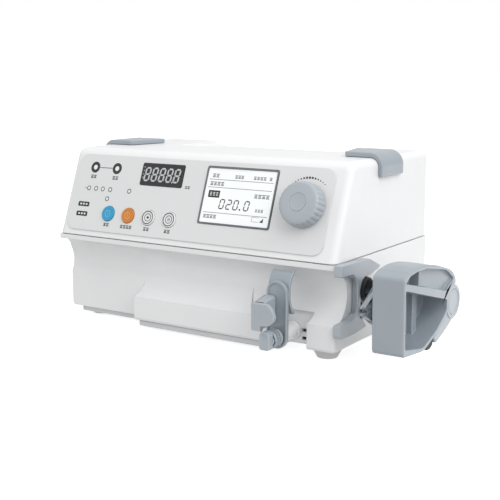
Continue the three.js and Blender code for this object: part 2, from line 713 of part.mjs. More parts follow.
// ---- drive train inside ----
// One involute gear outline about the origin, thinned for running clearance.
function gearShape(teeth, turn) {
  const pitch = (GEAR_MODULE * teeth) / 2;
  const base = pitch * Math.cos((20 * Math.PI) / 180);
  const tip = pitch + 0.85 * GEAR_MODULE;
  const root = pitch - 1.15 * GEAR_MODULE;
  const involute = (radius) => {
    const roll = Math.sqrt(Math.max((radius / base) ** 2 - 1, 0));
    return roll - Math.atan(roll);
  };
  const halfTooth = Math.PI / (2 * teeth) - 0.09 / pitch;
  const halfAt = (radius) => halfTooth + involute(pitch) - involute(radius);
  const start = Math.max(base, root);
  const radii = [start, pitch, tip];
  const points = [];
  for (let tooth = 0; tooth < teeth; tooth += 1) {
    const middle = turn + (tooth * 2 * Math.PI) / teeth;
    const at = (radius, side) => {
      const angle = middle + side * halfAt(radius);
      return new THREE.Vector2(radius * Math.cos(angle), radius * Math.sin(angle));
    };
    const foot = middle - halfAt(start) - 0.02;
    points.push(new THREE.Vector2(root * Math.cos(foot), root * Math.sin(foot)));
    radii.forEach((radius) => points.push(at(radius, -1)));
    radii.toReversed().forEach((radius) => points.push(at(radius, 1)));
    const heel = middle + halfAt(start) + 0.02;
    points.push(new THREE.Vector2(root * Math.cos(heel), root * Math.sin(heel)));
  }
  return new THREE.Shape(points);
}

function leadScrew() {
  return mesh('lead_screw', rodX(SCREW, SCREW.radius, GEAR_X[0] - 2, 139, 24), STEEL);
}

function screwGear() {
  const [x0, x1] = GEAR_X;
  const gear = alongX(gearShape(SCREW_TEETH, 0), x0, x1).translate(0, SCREW.y, SCREW.z);
  return mesh('screw_gear', cut(gear, rodX(SCREW, SCREW.radius + GAP, x0 - 5, x1 + 5, 24)), PALE);
}

const MOTOR = { y: SCREW.y + GEAR_DISTANCE, z: SCREW.z };

function motorPinion() {
  const [x0, x1] = GEAR_X;
  const turn = Math.PI + Math.PI / MOTOR_TEETH;
  const gear = alongX(gearShape(MOTOR_TEETH, turn), x0, x1).translate(0, MOTOR.y, MOTOR.z);
  const shaft = rodX(MOTOR, 2.5, x0 - 14, x1 + 1, 16);
  return mesh('motor_pinion', join(gear, shaft), STEEL);
}

function stepperMotor() {
  const half = 20;
  const right = GEAR_X[0] - 3;
  const left = right - 38;
  const { y, z } = MOTOR;
  const section = [
    [y - half, z - half, 4], [y + half, z - half, 4], [y + half, z + half, 4], [y - half, z + half, 4],
  ];
  const body = alongX(section, left, right, 0, 2);
  return mesh('stepper_motor', cut(body, rodX(MOTOR, 2.5 + RUNNING, right - 15, right + 5, 16)), BLACK);
}

function screwBearing(name, x0, x1, foot) {
  const { y, z, radius } = SCREW;
  const body = alongX([[y - 9, foot], [y + 9, foot], [y + 9, z + 9, 4], [y - 9, z + 9, 4]], x0, x1, 0, 3);
  return mesh(name, cut(body, rodX(SCREW, radius + RUNNING, x0 - 5, x1 + 5, 24)), STEEL);
}

function chassisPlate() {
  const corners = [[-138, 30, 4], [70, 30, 4], [70, 84], [138, 84, 4], [138, 168, 4], [-138, 168, 4]];
  return mesh('chassis_plate', alongZ(corners, 11, 12.2, 0, 2), STEEL);
}

function mainBoard() {
  return mesh('main_board', alongZ([[-125, 72], [125, 72], [125, 165], [-125, 165]], 90, 91.6), BOARD);
}

function powerSupply() {
  return mesh('power_supply', block(-134, -20, 118, 146, 13, 48), STEEL);
}

function batteryPack() {
  const corners = [[0, 100, 3], [118, 100, 3], [118, 160, 3], [0, 160, 3]];
  return mesh('battery_pack', alongZ(corners, 12.6, 40, 0, 2), BLACK);
}

// ---- rear connectors ----
const REAR_PANEL = { y0: 169.6, y1: 172.2 };
const INLET = { x: -82, z: 41 };
const PORT = { x: -44, z: 41 };

function rearPanel() {
  const { x0, x1, z0, z1 } = REAR_WINDOW;
  const plate = block(x0 - 4, x1 + 4, REAR_PANEL.y0, REAR_PANEL.y1, z0 - 4, z1 + 4);
  const inletHole = block(INLET.x - 14.3, INLET.x + 14.3, 160, 180, INLET.z - 10.3, INLET.z + 10.3);
  const portHole = block(PORT.x - 9.3, PORT.x + 9.3, 160, 180, PORT.z - 5.3, PORT.z + 5.3);
  return mesh('rear_panel', cut(plate, inletHole, portHole), PALE);
}

function mainsInlet() {
  const { x, z } = INLET;
  const shell = [[x - 14, z - 10, 3], [x + 14, z - 10, 3], [x + 14, z + 10, 3], [x - 14, z + 10, 3]];
  const lip = block(x - 17, x + 17, REAR_PANEL.y1 + GAP, REAR_PANEL.y1 + 1.8, z - 13, z + 13);
  const cavity = [[x - 11.5, z - 7.5, 2], [x + 11.5, z - 7.5, 2], [x + 11.5, z + 7.5, 4], [x - 11.5, z + 7.5, 4]];
  const pins = [-7, 0, 7].map((offset) => block(x + offset - 1, x + offset + 1, 155, 170, z - 2, z + 2));
  const body = join(alongY(shell, 152, REAR_PANEL.y1 + 1, 0, 2), lip);
  return mesh('mains_inlet', join(cut(body, alongY(cavity, 156, 190, 0, 2)), ...pins), BLACK);
}

function serialPort() {
  const { x, z } = PORT;
  const shell = [[x - 9, z - 5, 2], [x + 9, z - 5, 2], [x + 9, z + 5, 2], [x - 9, z + 5, 2]];
  const inside = [[x - 8, z - 4, 1.5], [x + 8, z - 4, 1.5], [x + 8, z + 4, 1.5], [x - 8, z + 4, 1.5]];
  const lip = block(x - 14, x + 14, REAR_PANEL.y1 + GAP, REAR_PANEL.y1 + 1.3, z - 6.2, z + 6.2);
  const body = join(alongY(shell, 160, REAR_PANEL.y1 + 2.4, 0, 2), lip);
  return mesh('serial_port', cut(body, alongY(inside, 166, 190, 0, 2)), STEEL);
}

// ---- assembly ----
function casing() {
  const group = new THREE.Group();
  group.add(upperCasing(), lowerCasing(), bottomCover(), endTrim(), tubeSeal());
  group.add(bumper('bumper_right', 1), bumper('bumper_left', -1));
  Object.entries(FEET).forEach(([name, place]) => group.add(foot(name, place)));
  group.add(rearPanel(), mainsInlet(), serialPort());
  return group;
}

function driveHead() {
  const group = new THREE.Group();
  group.add(driveTube(), guideRod(), carriage(), headHousing(), headPlate());
  group.add(clutchRod(), halfNut(), plungerSensor(), claw('upper_claw', 1), claw('lower_claw', -1));
  group.add(clutchLever(), leverTip());
  return group;
}

function syringeClamp() {
  const group = new THREE.Group();
  group.add(clampArm(), clampJaw(), clampGrip(), clampRod(), clampEndTab());
  group.add(clampFrontSpring(), clampReturnSpring(), clampCollar(), clampBushing());
  return group;
}

function internals() {
  const group = new THREE.Group();
  group.add(leadScrew(), screwGear(), motorPinion(), stepperMotor(), chassisPlate());
  group.add(screwBearing('screw_bearing_left', -58, -52, 12.5));
  group.add(screwBearing('screw_bearing_right', 135, 141, 10.8));
  group.add(mainBoard(), powerSupply(), batteryPack());
  return group;
}

const pump = new THREE.Group();
pump.add(casing(), fascia(), driveHead(), syringeClamp(), internals());

const box = new THREE.Box3().setFromObject(pump, true);
const middle = box.getCenter(new THREE.Vector3());
pump.position.set(-middle.x, -middle.y, -box.min.z);

export default pump;
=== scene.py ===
"""Looks of a syringe-type infusion pump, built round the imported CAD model.

Shapes are worked out in the pump's own millimetre frame: x from the middle of the casing, y from the front
plane to the rear, z from the table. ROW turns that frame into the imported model's metres.
"""

import json
import math

import bmesh
import bpy
from mathutils import Matrix, Vector


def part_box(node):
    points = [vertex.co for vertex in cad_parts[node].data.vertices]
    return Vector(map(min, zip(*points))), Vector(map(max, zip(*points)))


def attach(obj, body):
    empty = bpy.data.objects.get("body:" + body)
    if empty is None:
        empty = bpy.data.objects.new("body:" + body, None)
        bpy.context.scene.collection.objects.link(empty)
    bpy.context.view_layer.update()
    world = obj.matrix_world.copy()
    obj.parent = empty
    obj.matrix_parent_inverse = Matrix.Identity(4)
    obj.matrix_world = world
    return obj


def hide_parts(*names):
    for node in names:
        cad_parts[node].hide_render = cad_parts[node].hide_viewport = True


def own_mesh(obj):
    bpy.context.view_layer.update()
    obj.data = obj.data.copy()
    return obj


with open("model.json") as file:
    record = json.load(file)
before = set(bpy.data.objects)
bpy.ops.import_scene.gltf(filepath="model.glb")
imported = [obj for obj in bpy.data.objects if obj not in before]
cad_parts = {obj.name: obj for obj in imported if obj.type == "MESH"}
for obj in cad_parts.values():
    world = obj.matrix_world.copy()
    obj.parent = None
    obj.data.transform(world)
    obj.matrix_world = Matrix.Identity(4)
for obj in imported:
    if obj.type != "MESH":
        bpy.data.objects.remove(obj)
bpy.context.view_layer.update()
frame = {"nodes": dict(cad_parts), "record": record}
scene = bpy.context.scene

# ---- driving dimensions, in millimetres ----
CASE_DEPTH = 175.0
CASE_TOP = 156.3
SEAM = 78.9
CASE_BOTTOM = 8.0
WALL = 2.5
GAP = 0.3  # the clearance between parts that don't touch
BEYOND = (-200, 200, -60, 300)  # x and y limits outside the whole casing
RIGHT = 145.0
LEFT = -145.0
PANEL_RUN = 29.2
PANEL_RISE = CASE_TOP - SEAM
PANEL_LENGTH = math.hypot(PANEL_RUN, PANEL_RISE)
CRADLE = (-3.0, 52.0, 22.5)  # y, z and radius of the syringe's trough
STEP_RIGHT, STEP_DEPTH = -56.7, 16.5
BAY_LEFT, BAY_RIGHT, BAY_DEPTH, BAY_TOP = 90.0, 119.7, 15.0, 36.0
REAR_WINDOW = (-104, -22, 20, 62)  # x0, x1, z0, z1
TUBE = (40.0, 54.0)
TUBE_RADIUS = 8.0
GUIDE = (31.0, 37.5)
GUIDE_RADIUS, GUIDE_HOLE = 1.8, 2.4
HEAD_LEFT, HEAD_RIGHT, HEAD_BACK = 186.0, 212.0, 190.5
PIVOT = (78.0, 44.0)
PIVOT_RADIUS = 14.0
PLATE_LEFT, PLATE_RIGHT = 182.0, 185.7
CLAW_Y, CLAW_Z, CLAW_SPREAD = 22.0, 48.4, 7.0
PLUNGER = (4.0, 48.4)
CLAMP_X, CLAMP_Z, CLAMP_ROD = 99.0, 18.5, 5.0
ARM_HALF, ARM_TOP, ARM_FRONT, ARM_BACK, ARM_RECESS = 9.5, 63.8, -12.3, -8.6, 1.4
BUTTON_RADIUS = 6.85
BUTTONS = {"start_button": -89.9, "stop_button": -67.0, "purge_button": -44.1, "mute_button": -21.2}
BUTTON_UP = 22.4
LED = (-38.5, 61.1, 46.0, 20.0)
LCD = (44.0, 47.2, 71.0, 50.0)
LCD_RIM = 2.6
KNOB_X, KNOB_UP, KNOB_RADIUS, KNOB_HEIGHT = 109.0, 44.5, 18.8, 12.4

low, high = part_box("lower_casing")
ORIGIN = Vector(((low.x + high.x) / 2, high.y - CASE_DEPTH / 1000, 0.0))
ROW = Matrix.Translation(ORIGIN) @ Matrix.Scale(0.001, 4)
PANEL = Matrix.Translation((0, 0, SEAM)) @ Matrix.Rotation(math.acos(PANEL_RUN / PANEL_LENGTH), 4, "X")


# ---- mesh helpers ----
def fillet(corners, steps=8):
    """A closed outline whose [a, b, run] corners are rounded, the arc starting run away from the corner."""
    points = []
    for i, corner in enumerate(corners):
        here = Vector(corner[:2])
        run = corner[2] if len(corner) > 2 else 0
        if not run:
            points.append(tuple(here))
            continue
        back = (Vector(corners[i - 1][:2]) - here).normalized()
        ahead = (Vector(corners[(i + 1) % len(corners)][:2]) - here).normalized()
        half = back.angle(ahead) / 2
        centre = here + (back + ahead).normalized() * (run / math.cos(half))
        start = here + back * run - centre
        leave = here + ahead * run - centre
        sweep = math.copysign(math.pi - 2 * half, start.x * leave.y - start.y * leave.x)
        for k in range(steps + 1):
            turn = sweep * k / steps
            points.append((
                centre.x + start.x * math.cos(turn) - start.y * math.sin(turn),
                centre.y + start.x * math.sin(turn) + start.y * math.cos(turn),
            ))
    return points


def to_mesh(bm):
    bmesh.ops.recalc_face_normals(bm, faces=bm.faces)
    made = bpy.data.meshes.new("solid")
    bm.to_mesh(made)
    bm.free()
    return made


def prism_bm(points, lo, hi, axis):
    place = {
        "x": lambda a, b, c: (c, a, b),
        "y": lambda a, b, c: (a, c, b),
        "z": lambda a, b, c: (a, b, c),
    }[axis]
    bm = bmesh.new()
    first, last = [[bm.verts.new(place(a, b, c)) for a, b in points] for c in (lo, hi)]
    caps = [bm.faces.new(first), bm.faces.new(last)]
    for i in range(len(points)):
        bm.faces.new((first[i - 1], first[i], last[i], last[i - 1]))
    bmesh.ops.recalc_face_normals(bm, faces=bm.faces)
    return bm, caps


def prism(corners, lo, hi, axis, bevel=0.0, steps=8, bevel_steps=4):
    """An outline pushed along an axis, its end edges rounded by bevel."""
    bm, caps = prism_bm(fillet(corners, steps), lo, hi, axis)
    if bevel:
        edges = list({e for f in caps for e in f.edges})
        bmesh.ops.bevel(bm, geom=edges, offset=bevel, segments=bevel_steps, profile=0.5, affect="EDGES")
    return to_mesh(bm)


def slab(a0, a1, b0, b1, lo, hi, axis, run=0.0, bevel=0.0, steps=8):
    """A rectangle whose corners are rounded by run, pushed along an axis."""
    return prism([(a0, b0, run), (a1, b0, run), (a1, b1, run), (a0, b1, run)], lo, hi, axis, bevel, steps)


def block(x0, x1, y0, y1, z0, z1):
    return slab(x0, x1, y0, y1, z0, z1, "z")


def circle(a, b, radius, sides):
    return [
        (a + radius * math.cos(2 * math.pi * i / sides), b + radius * math.sin(2 * math.pi * i / sides))
        for i in range(sides)
    ]


def rod(axis, centre, radius, lo, hi, sides=64):
    return prism(circle(*centre, radius, sides), lo, hi, axis)


def skin(bm, rings, closed=False):
    """Joins each ring of vertices to the next. A ring may also be a single point."""
    pairs = list(zip(rings, rings[1:]))
    if closed:
        pairs.append((rings[-1], rings[0]))
    for one, two in pairs:
        for i in range(max(len(one), len(two))):
            corner = [one[i - 1], one[i]] if len(one) > 1 else [one[0]]
            corner += [two[i], two[i - 1]] if len(two) > 1 else [two[0]]
            bm.faces.new(corner)


def turned(profile, sides=96, closed=False):
    """A turned piece about z. A [radius, height] profile that is not closed starts on the axis."""
    bm = bmesh.new()
    rings = []
    for radius, height in profile:
        around = circle(0, 0, radius, sides) if radius else [(0, 0)]
        rings.append([bm.verts.new((*point, height)) for point in around])
    skin(bm, rings, closed)
    return to_mesh(bm)


def placed(name, data):
    obj = bpy.data.objects.new(name, data)
    scene.collection.objects.link(obj)
    return obj


def evaluated(obj):
    graph = bpy.context.evaluated_depsgraph_get()
    return bpy.data.meshes.new_from_object(obj.evaluated_get(graph), preserve_all_data_layers=True, depsgraph=graph)


def boolean(mesh, tools, operation):
    base = placed("base", mesh)
    helpers = [placed("tool", tool) for tool in tools]
    for helper in helpers:
        step = base.modifiers.new("step", "BOOLEAN")
        step.object = helper
        step.operation = operation
        step.solver = "EXACT"
    made = evaluated(base)
    for helper in [base, *helpers]:
        data = helper.data
        bpy.data.objects.remove(helper)
        bpy.data.meshes.remove(data)
    return made


def cut(mesh, *tools):
    return boolean(mesh, tools, "DIFFERENCE")


def join(mesh, *others):
    return boolean(mesh, others, "UNION")


def common(mesh, *others):
    return boolean(mesh, others, "INTERSECT")


def merged(*meshes):
    """Several separate shells in one mesh."""
    bm = bmesh.new()
    for mesh in meshes:
        bm.from_mesh(mesh)
        bpy.data.meshes.remove(mesh)
    return to_mesh(bm)


def moved(mesh, *, by=(0, 0, 0), matrix=None):
    mesh.transform(matrix or Matrix.Translation(by))
    return mesh


def lengthwise(mesh, x, y, z):
    """Turns a piece made about z so that its height runs along x, and puts it at that point."""
    return moved(mesh, matrix=Matrix.Translation((x, y, z)) @ Matrix.Rotation(math.pi / 2, 4, "Y"))


def rearwards(mesh, x, y, z):
    """Turns a piece made about z so that its height runs along y, and puts it at that point."""
    return moved(mesh, matrix=Matrix.Translation((x, y, z)) @ Matrix.Rotation(-math.pi / 2, 4, "X"))


def coil(radius, wire, y0, y1, turns, x, z):
    """A round-wire spring about y, with its end coils closed."""
    around, per_turn, closed_turns, end_rise = 12, 36, 0.75, 0.12
    bm = bmesh.new()
    count = int(turns * per_turn)
    ends = closed_turns / turns
    rings = []
    for i in range(count + 1):
        share = i / count
        angle = 2 * math.pi * turns * share
        open_part = min(max((share - ends) / (1 - 2 * ends), 0), 1)
        y = y0 + (y1 - y0) * (end_rise * share + (1 - end_rise) * open_part)
        out = Vector((math.cos(angle), 0, math.sin(angle)))
        centre = Vector((x, y, z)) + out * radius
        rings.append([
            bm.verts.new(centre + out * wire * math.cos(t) + Vector((0, wire * math.sin(t), 0)))
            for t in (2 * math.pi * k / around for k in range(around))
        ])
    skin(bm, rings)
    bm.faces.new(rings[0])
    bm.faces.new(rings[-1])
    return to_mesh(bm)


def softened(mesh, width, steps=3, angle=30):
    """Rounds the sharp edges by width, or only marks them, and weights the normals to keep flat faces flat."""
    obj = placed("soft", mesh)
    for polygon in mesh.polygons:
        polygon.use_smooth = True
    if not width:
        mesh.set_sharp_from_angle(angle=math.radians(angle + 5))
    else:
        rounding = obj.modifiers.new("rounding", "BEVEL")
        rounding.width = width
        rounding.segments = steps
        rounding.limit_method = "ANGLE"
        rounding.angle_limit = math.radians(angle)
        rounding.use_clamp_overlap = False
        rounding.miter_outer = "MITER_ARC"
    weights = obj.modifiers.new("weights", "WEIGHTED_NORMAL")
    weights.keep_sharp = True
    made = evaluated(obj)
    bpy.data.objects.remove(obj)
    bpy.data.meshes.remove(mesh)
    return made


def piece(name, mesh, material, body, nodes=(), soft=0.0, steps=3, angle=30, on_panel=False):
    """Puts a finished mesh into the model as one piece."""
    if on_panel:
        mesh.transform(PANEL)
    mesh = softened(mesh, soft, steps, angle)
    mesh.transform(ROW)
    mesh.name = name
    mesh.materials.clear()
    mesh.materials.append(material)
    obj = placed(name, mesh)
    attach(obj, body)
    if nodes:
        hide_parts(*nodes)
    return obj


# ---- materials ----
def nodes_of(name):
    material = bpy.data.materials.new(name)
    material.use_nodes = True
    tree = material.node_tree
    return material, tree, tree.nodes["Principled BSDF"]


def feed(tree, node, values):
    """Gives a node's inputs plain values or other nodes' outputs."""
    for name, value in values.items():
        if isinstance(value, bpy.types.NodeSocket):
            tree.links.new(value, node.inputs[name])
        else:
            node.inputs[name].default_value = value


def add(tree, kind, values=None, **settings):
    made = tree.nodes.new("ShaderNode" + kind)
    for name, value in settings.items():
        setattr(made, name, value)
    feed(tree, made, values or {})
    return made


def noise(tree, scale, detail=3.0, stretch=(1, 1, 1), rough=0.5):
    where = add(tree, "TexCoord").outputs["Object"]
    squeezed = add(tree, "Mapping", {"Scale": stretch, "Vector": where}).outputs["Vector"]
    made = add(tree, "TexNoise", {"Scale": scale, "Detail": detail, "Roughness": rough, "Vector": squeezed})
    return made.outputs["Fac"]


def span(tree, value, lo, hi, start=0.3, end=0.7):
    """Maps start..end of a value to lo..hi."""
    made = add(tree, "MapRange", {"From Min": start, "From Max": end, "To Min": lo, "To Max": hi, "Value": value})
    return made.outputs["Result"]


def shade(colour, factor):
    return tuple(min(1.0, c * factor) for c in colour)


def blend_colours(tree, value, one, two):
    """Mixes two colours, the first of them plain or another node's output."""
    one = one if isinstance(one, bpy.types.NodeSocket) else (*one, 1)
    made = add(tree, "Mix", {"A": one, "B": (*two, 1), "Factor": value}, data_type="RGBA")
    return made.outputs["Result"]


def uneven(tree, colour, value, vary):
    """A colour that wanders by vary, darker and lighter, as the value does."""
    return blend_colours(tree, span(tree, value, 0, 1), shade(colour, 1 - vary), shade(colour, 1 + vary))


def rounded_normal(tree, radius):
    """The surface direction as it would be with every edge rounded by that radius."""
    return add(tree, "Bevel", {"Radius": radius}, samples=4).outputs["Normal"]


def bump(tree, shader, height, strength, distance, edge=0.0):
    """Fine relief, with edges shaded as if rounded by a radius if one is given."""
    made = add(tree, "Bump", {"Strength": strength, "Distance": distance, "Height": height})
    if edge:
        feed(tree, made, {"Normal": rounded_normal(tree, edge)})
    feed(tree, shader, {"Normal": made.outputs["Normal"]})


def edge_mask(tree, radius):
    """1 on rounded edges and 0 on flat faces."""
    plain = add(tree, "NewGeometry").outputs["Normal"]
    agreement = add(tree, "VectorMath", {0: rounded_normal(tree, radius), 1: plain}, operation="DOT_PRODUCT")
    return span(tree, agreement.outputs["Value"], 1.0, 0.0, 0.86, 0.995)


EDGE_RADIUS = 0.0009  # metres, as the materials measure


def plastic(name, colour, rough=0.4, grain=0.12, scale=1400, vary=0.025, edges=0.0, coat=0.0, edge=0.0):
    """Moulded plastic: fine spark-eroded grain, faint flow variation, and, where edges is set, a painted highlight that
    lightens the rounded edges as if they caught the light.
    """
    material, tree, shader = nodes_of(name)
    base = uneven(tree, colour, noise(tree, 24, 4), vary)
    # Painted highlight: edges lightens the rounded edges towards a paler copy of the colour, standing in for light
    # caught on the rims.
    if edges:
        mask = span(tree, edge_mask(tree, EDGE_RADIUS), 0, edges, 0, 1)
        base = blend_colours(tree, mask, base, shade(colour, 1.55))
    feed(tree, shader, {
        "Base Color": base, "Roughness": span(tree, noise(tree, 70, 5), rough - 0.06, rough + 0.07),
        "Coat Weight": coat, "Coat Roughness": 0.15,
    })
    bump(tree, shader, noise(tree, scale, 2, rough=0.6), grain, 0.00006, edge)
    return material


def metal(name, colour, rough=0.3, stretch=(1, 1, 1), scale=900, grain=0.15, vary=0.08):
    """Turned, ground or rolled metal, its marks drawn out along the stretched axes."""
    material, tree, shader = nodes_of(name)
    marks = noise(tree, scale, 4, stretch, 0.65)
    feed(tree, shader, {
        "Base Color": uneven(tree, colour, noise(tree, 40, 3), vary),
        "Roughness": span(tree, marks, rough - 0.1, rough + 0.12), "Metallic": 1.0,
    })
    bump(tree, shader, marks, grain, 0.00005)
    return material


def board(name, colour):
    """Circuit board: solder mask over a grid of faint copper tracks."""
    material, tree, shader = nodes_of(name)
    grid = add(tree, "TexBrick", {
        "Scale": 180, "Color1": (*shade(colour, 0.8), 1), "Color2": (*shade(colour, 1.1), 1),
        "Mortar": (*shade(colour, 1.8), 1), "Mortar Size": 0.03, "Vector": add(tree, "TexCoord").outputs["Object"],
    })
    rough = span(tree, noise(tree, 200, 3), 0.3, 0.45)
    feed(tree, shader, {"Base Color": grid.outputs["Color"], "Roughness": rough})
    return material


def lit(name, colour, strength, rough=0.35):
    """Something that gives a little light of its own, slightly uneven like a backlight."""
    material, tree, shader = nodes_of(name)
    cloud = span(tree, noise(tree, 18, 2), 0, 1)
    base = blend_colours(tree, cloud, shade(colour, 0.97), shade(colour, 1.02))
    feed(tree, shader, {
        "Base Color": base, "Emission Color": base, "Emission Strength": strength,
        "Roughness": span(tree, noise(tree, 120, 3), rough - 0.05, rough + 0.05),
    })
    return material


WHITE_PLASTIC = plastic("white_abs", (0.80, 0.805, 0.81), 0.36, 0.10, 1500, 0.008, 0.0, 0.06, EDGE_RADIUS)
PALE_PLASTIC = plastic("pale_abs", (0.62, 0.63, 0.64), 0.5, 0.25, 1100, 0.02)
FILM = plastic("fascia_film", (0.70, 0.707, 0.71), 0.42, 0.16, 2600, 0.008)
# The slate and bezel plastics carry a painted highlight on their rounded edges (the edges argument).
SLATE_PLASTIC = plastic("slate_abs", (0.305, 0.345, 0.382), 0.34, 0.14, 1300, 0.03, 0.9, 0.15)
SLATE_LIGHT = plastic("slate_light_abs", (0.375, 0.415, 0.452), 0.34, 0.12, 1300, 0.03, 0.8, 0.15)
BEZEL = plastic("bezel_abs", (0.105, 0.12, 0.135), 0.32, 0.1, 1500, 0.04, 0.4, 0.2)
WINDOW = plastic("smoked_window", (0.006, 0.0065, 0.007), 0.24, 0.02, 600, 0.15, 0.0, 0.0)
SCREEN = lit("lcd_screen", (0.86, 0.88, 0.885), 0.10, 0.22)
BLUE = plastic("blue_key", (0.010, 0.31, 0.56), 0.4, 0.1, 1600, 0.04, 0.0, 0.15)
ORANGE = plastic("orange_key", (0.60, 0.19, 0.012), 0.4, 0.1, 1600, 0.04, 0.0, 0.15)
KEY_WHITE = plastic("white_key", (0.74, 0.745, 0.75), 0.36, 0.1, 1600, 0.02, 0.0, 0.1)
INK = plastic("printed_ink", (0.018, 0.019, 0.021), 0.5, 0.1, 2400, 0.1)
INK_GREY = plastic("printed_grey", (0.13, 0.133, 0.137), 0.5, 0.1, 2400, 0.05)
BLUE_PRINT = plastic("printed_blue", (0.16, 0.50, 0.72), 0.45, 0.1, 2400, 0.02)
ORANGE_PRINT = plastic("printed_orange", (0.74, 0.40, 0.14), 0.45, 0.1, 2400, 0.02)
INK_WHITE = plastic("printed_white", (0.82, 0.82, 0.82), 0.45, 0.1, 2400, 0.02)
RUBBER = plastic("black_rubber", (0.014, 0.014, 0.015), 0.62, 0.35, 900, 0.12)
FOOT_RUBBER = plastic("grey_rubber", (0.60, 0.605, 0.61), 0.7, 0.4, 800, 0.06)
BLACK_PLASTIC = plastic("black_abs", (0.02, 0.021, 0.023), 0.45, 0.3, 1000, 0.1)
ANODISED = metal("black_anodised", (0.03, 0.031, 0.034), 0.38, (0.08, 1, 1), 1600, 0.12)
STEEL = metal("ground_steel", (0.60, 0.61, 0.62), 0.28, (1, 0.05, 1), 1800, 0.2)
STEEL_X = metal("drawn_steel", (0.60, 0.61, 0.62), 0.25, (0.05, 1, 1), 1800, 0.2)
BRONZE = metal("bronze", (0.48, 0.31, 0.13), 0.32, (1, 1, 0.1), 1200, 0.2)
SEGMENTS = lit("led_segments", (0.44, 0.46, 0.47), 0.16, 0.2)
SEGMENTS_DIM = lit("led_segments_dim", (0.34, 0.35, 0.35), 0.12, 0.2)

SLOT_MATERIALS = {
    "casing_white": WHITE_PLASTIC, "cover_pale": PALE_PLASTIC, "fascia_film": FILM, "slate_plastic": SLATE_PLASTIC,
    "bezel_grey": BEZEL, "dark_window": WINDOW, "display_glass": SCREEN, "button_blue": BLUE,
    "button_orange": ORANGE, "button_white": KEY_WHITE, "rubber_black": RUBBER, "foot_rubber": FOOT_RUBBER,
    "tube_black": ANODISED, "black_plastic": BLACK_PLASTIC, "steel": STEEL, "bronze": BRONZE,
    "zinc_sheet": metal("zinc_sheet", (0.50, 0.52, 0.53), 0.42, (1, 1, 1), 300, 0.1, 0.12),
    "cast_block": metal("milled_aluminium", (0.62, 0.63, 0.64), 0.35, (1, 0.1, 1), 1200, 0.2),
    "gear_nylon": plastic("nylon", (0.72, 0.70, 0.63), 0.5, 0.1, 900, 0.02),
    "board_green": board("solder_mask", (0.02, 0.14, 0.06)),
    "cell_pack": plastic("shrink_wrap", (0.03, 0.04, 0.06), 0.3, 0.3, 300, 0.1, 0.0, 0.3),
    "motor_metal": plastic("black_lacquer", (0.02, 0.02, 0.022), 0.3, 0.2, 700, 0.1, 0.0, 0.4),
}


def dress_cad_nodes():
    """Every CAD node takes the procedural material of its slot, whether it shows or not."""
    for entry in frame["record"]["subparts"]:
        node = frame["nodes"][entry["node"]]
        node.data.materials.clear()
        node.data.materials.append(SLOT_MATERIALS[entry["material_slot"]])


# ---- casing ----
def front_at(z):
    """How far back the sloping panel is at a height."""
    return (z - SEAM) * PANEL_RUN / PANEL_RISE


def rounded_box(points, x0, x1, skip, offset, steps):
    """A prism along x with every edge rounded except those that skip says to leave."""
    bm, _ = prism_bm(points, x0, x1, "x")
    edges = [e for e in bm.edges if not all(skip(v.co) for v in e.verts)]
    bmesh.ops.bevel(bm, geom=edges, offset=offset, segments=steps, profile=0.5, affect="EDGES", clamp_overlap=False)
    return to_mesh(bm)


def upper_block(grow, offset=7.4):
    """The upper casing's solid shape, larger by grow all round."""
    bottom = SEAM - 15
    top = CASE_TOP + grow
    slant = grow / (PANEL_RISE / PANEL_LENGTH)
    points = [
        (front_at(bottom) - slant, bottom), (CASE_DEPTH + grow, bottom),
        (CASE_DEPTH + grow, top), (front_at(top) - slant, top),
    ]
    return rounded_box(points, LEFT - grow, RIGHT + grow, lambda co: abs(co.z - bottom) < 0.01, offset, 8)


def top_hollow(grow):
    """The shallow tray sunk into the top, which runs out at the rear."""
    half, front, floor = 82 + grow, 98 - grow, 150.6 - grow
    rim = CASE_TOP + 10
    corners = [(-half, floor, 9), (half, floor, 9), (half + 14, rim), (-half - 14, rim)]
    return prism(corners, front, CASE_DEPTH + 20, "y", 3.0, 10, 6)


def panel_rect(place, grow, lo, hi, run=1.5):
    """A rounded rectangle lying on the panel, its place being its x, height up the panel, width and height."""
    x, up, width, height = place
    w, h = width / 2 + grow, height / 2 + grow
    return slab(x - w, x + w, up - h, up + h, lo, hi, "z", run)


def on_panel(mesh):
    return moved(mesh, matrix=PANEL)


def upper_casing():
    keep = block(*BEYOND, SEAM + GAP, 200)
    outer = cut(upper_block(0), top_hollow(0))
    inner = cut(upper_block(-WALL, 5.2), top_hollow(WALL))
    through = (-8, 5)
    windows = [panel_rect(LED, -1, *through), panel_rect(LCD, -LCD_RIM, *through)]
    windows.append(rod("z", (KNOB_X, KNOB_UP), 5, *through))
    windows += [rod("z", (x, BUTTON_UP), BUTTON_RADIUS + 0.5, *through) for x in BUTTONS.values()]
    first_vent, vent_pitch, vent_half = 20, 5.4, 1.1
    vents = [
        slab(x - vent_half, x + vent_half, 112, 134, CASE_DEPTH - 6, CASE_DEPTH + 6, "y", 1)
        for x in (first_vent + vent_pitch * i for i in range(15))
    ]
    shell = cut(common(outer, keep), inner, *[on_panel(w) for w in windows], *vents)
    piece("upper_casing_shell", shell, WHITE_PLASTIC, "base", ["upper_casing"], 0.7)


def lower_block(grow, offset=3.2):
    """The lower casing's solid shape, larger by grow all round."""
    top, bottom, back = SEAM + 10, CASE_BOTTOM - grow, CASE_DEPTH + grow
    points = [(-grow, bottom), (back, bottom), (back, top), (-grow, top)]
    return rounded_box(points, LEFT - grow, RIGHT + grow, lambda co: abs(co.z - top) < 0.01, offset, 6)


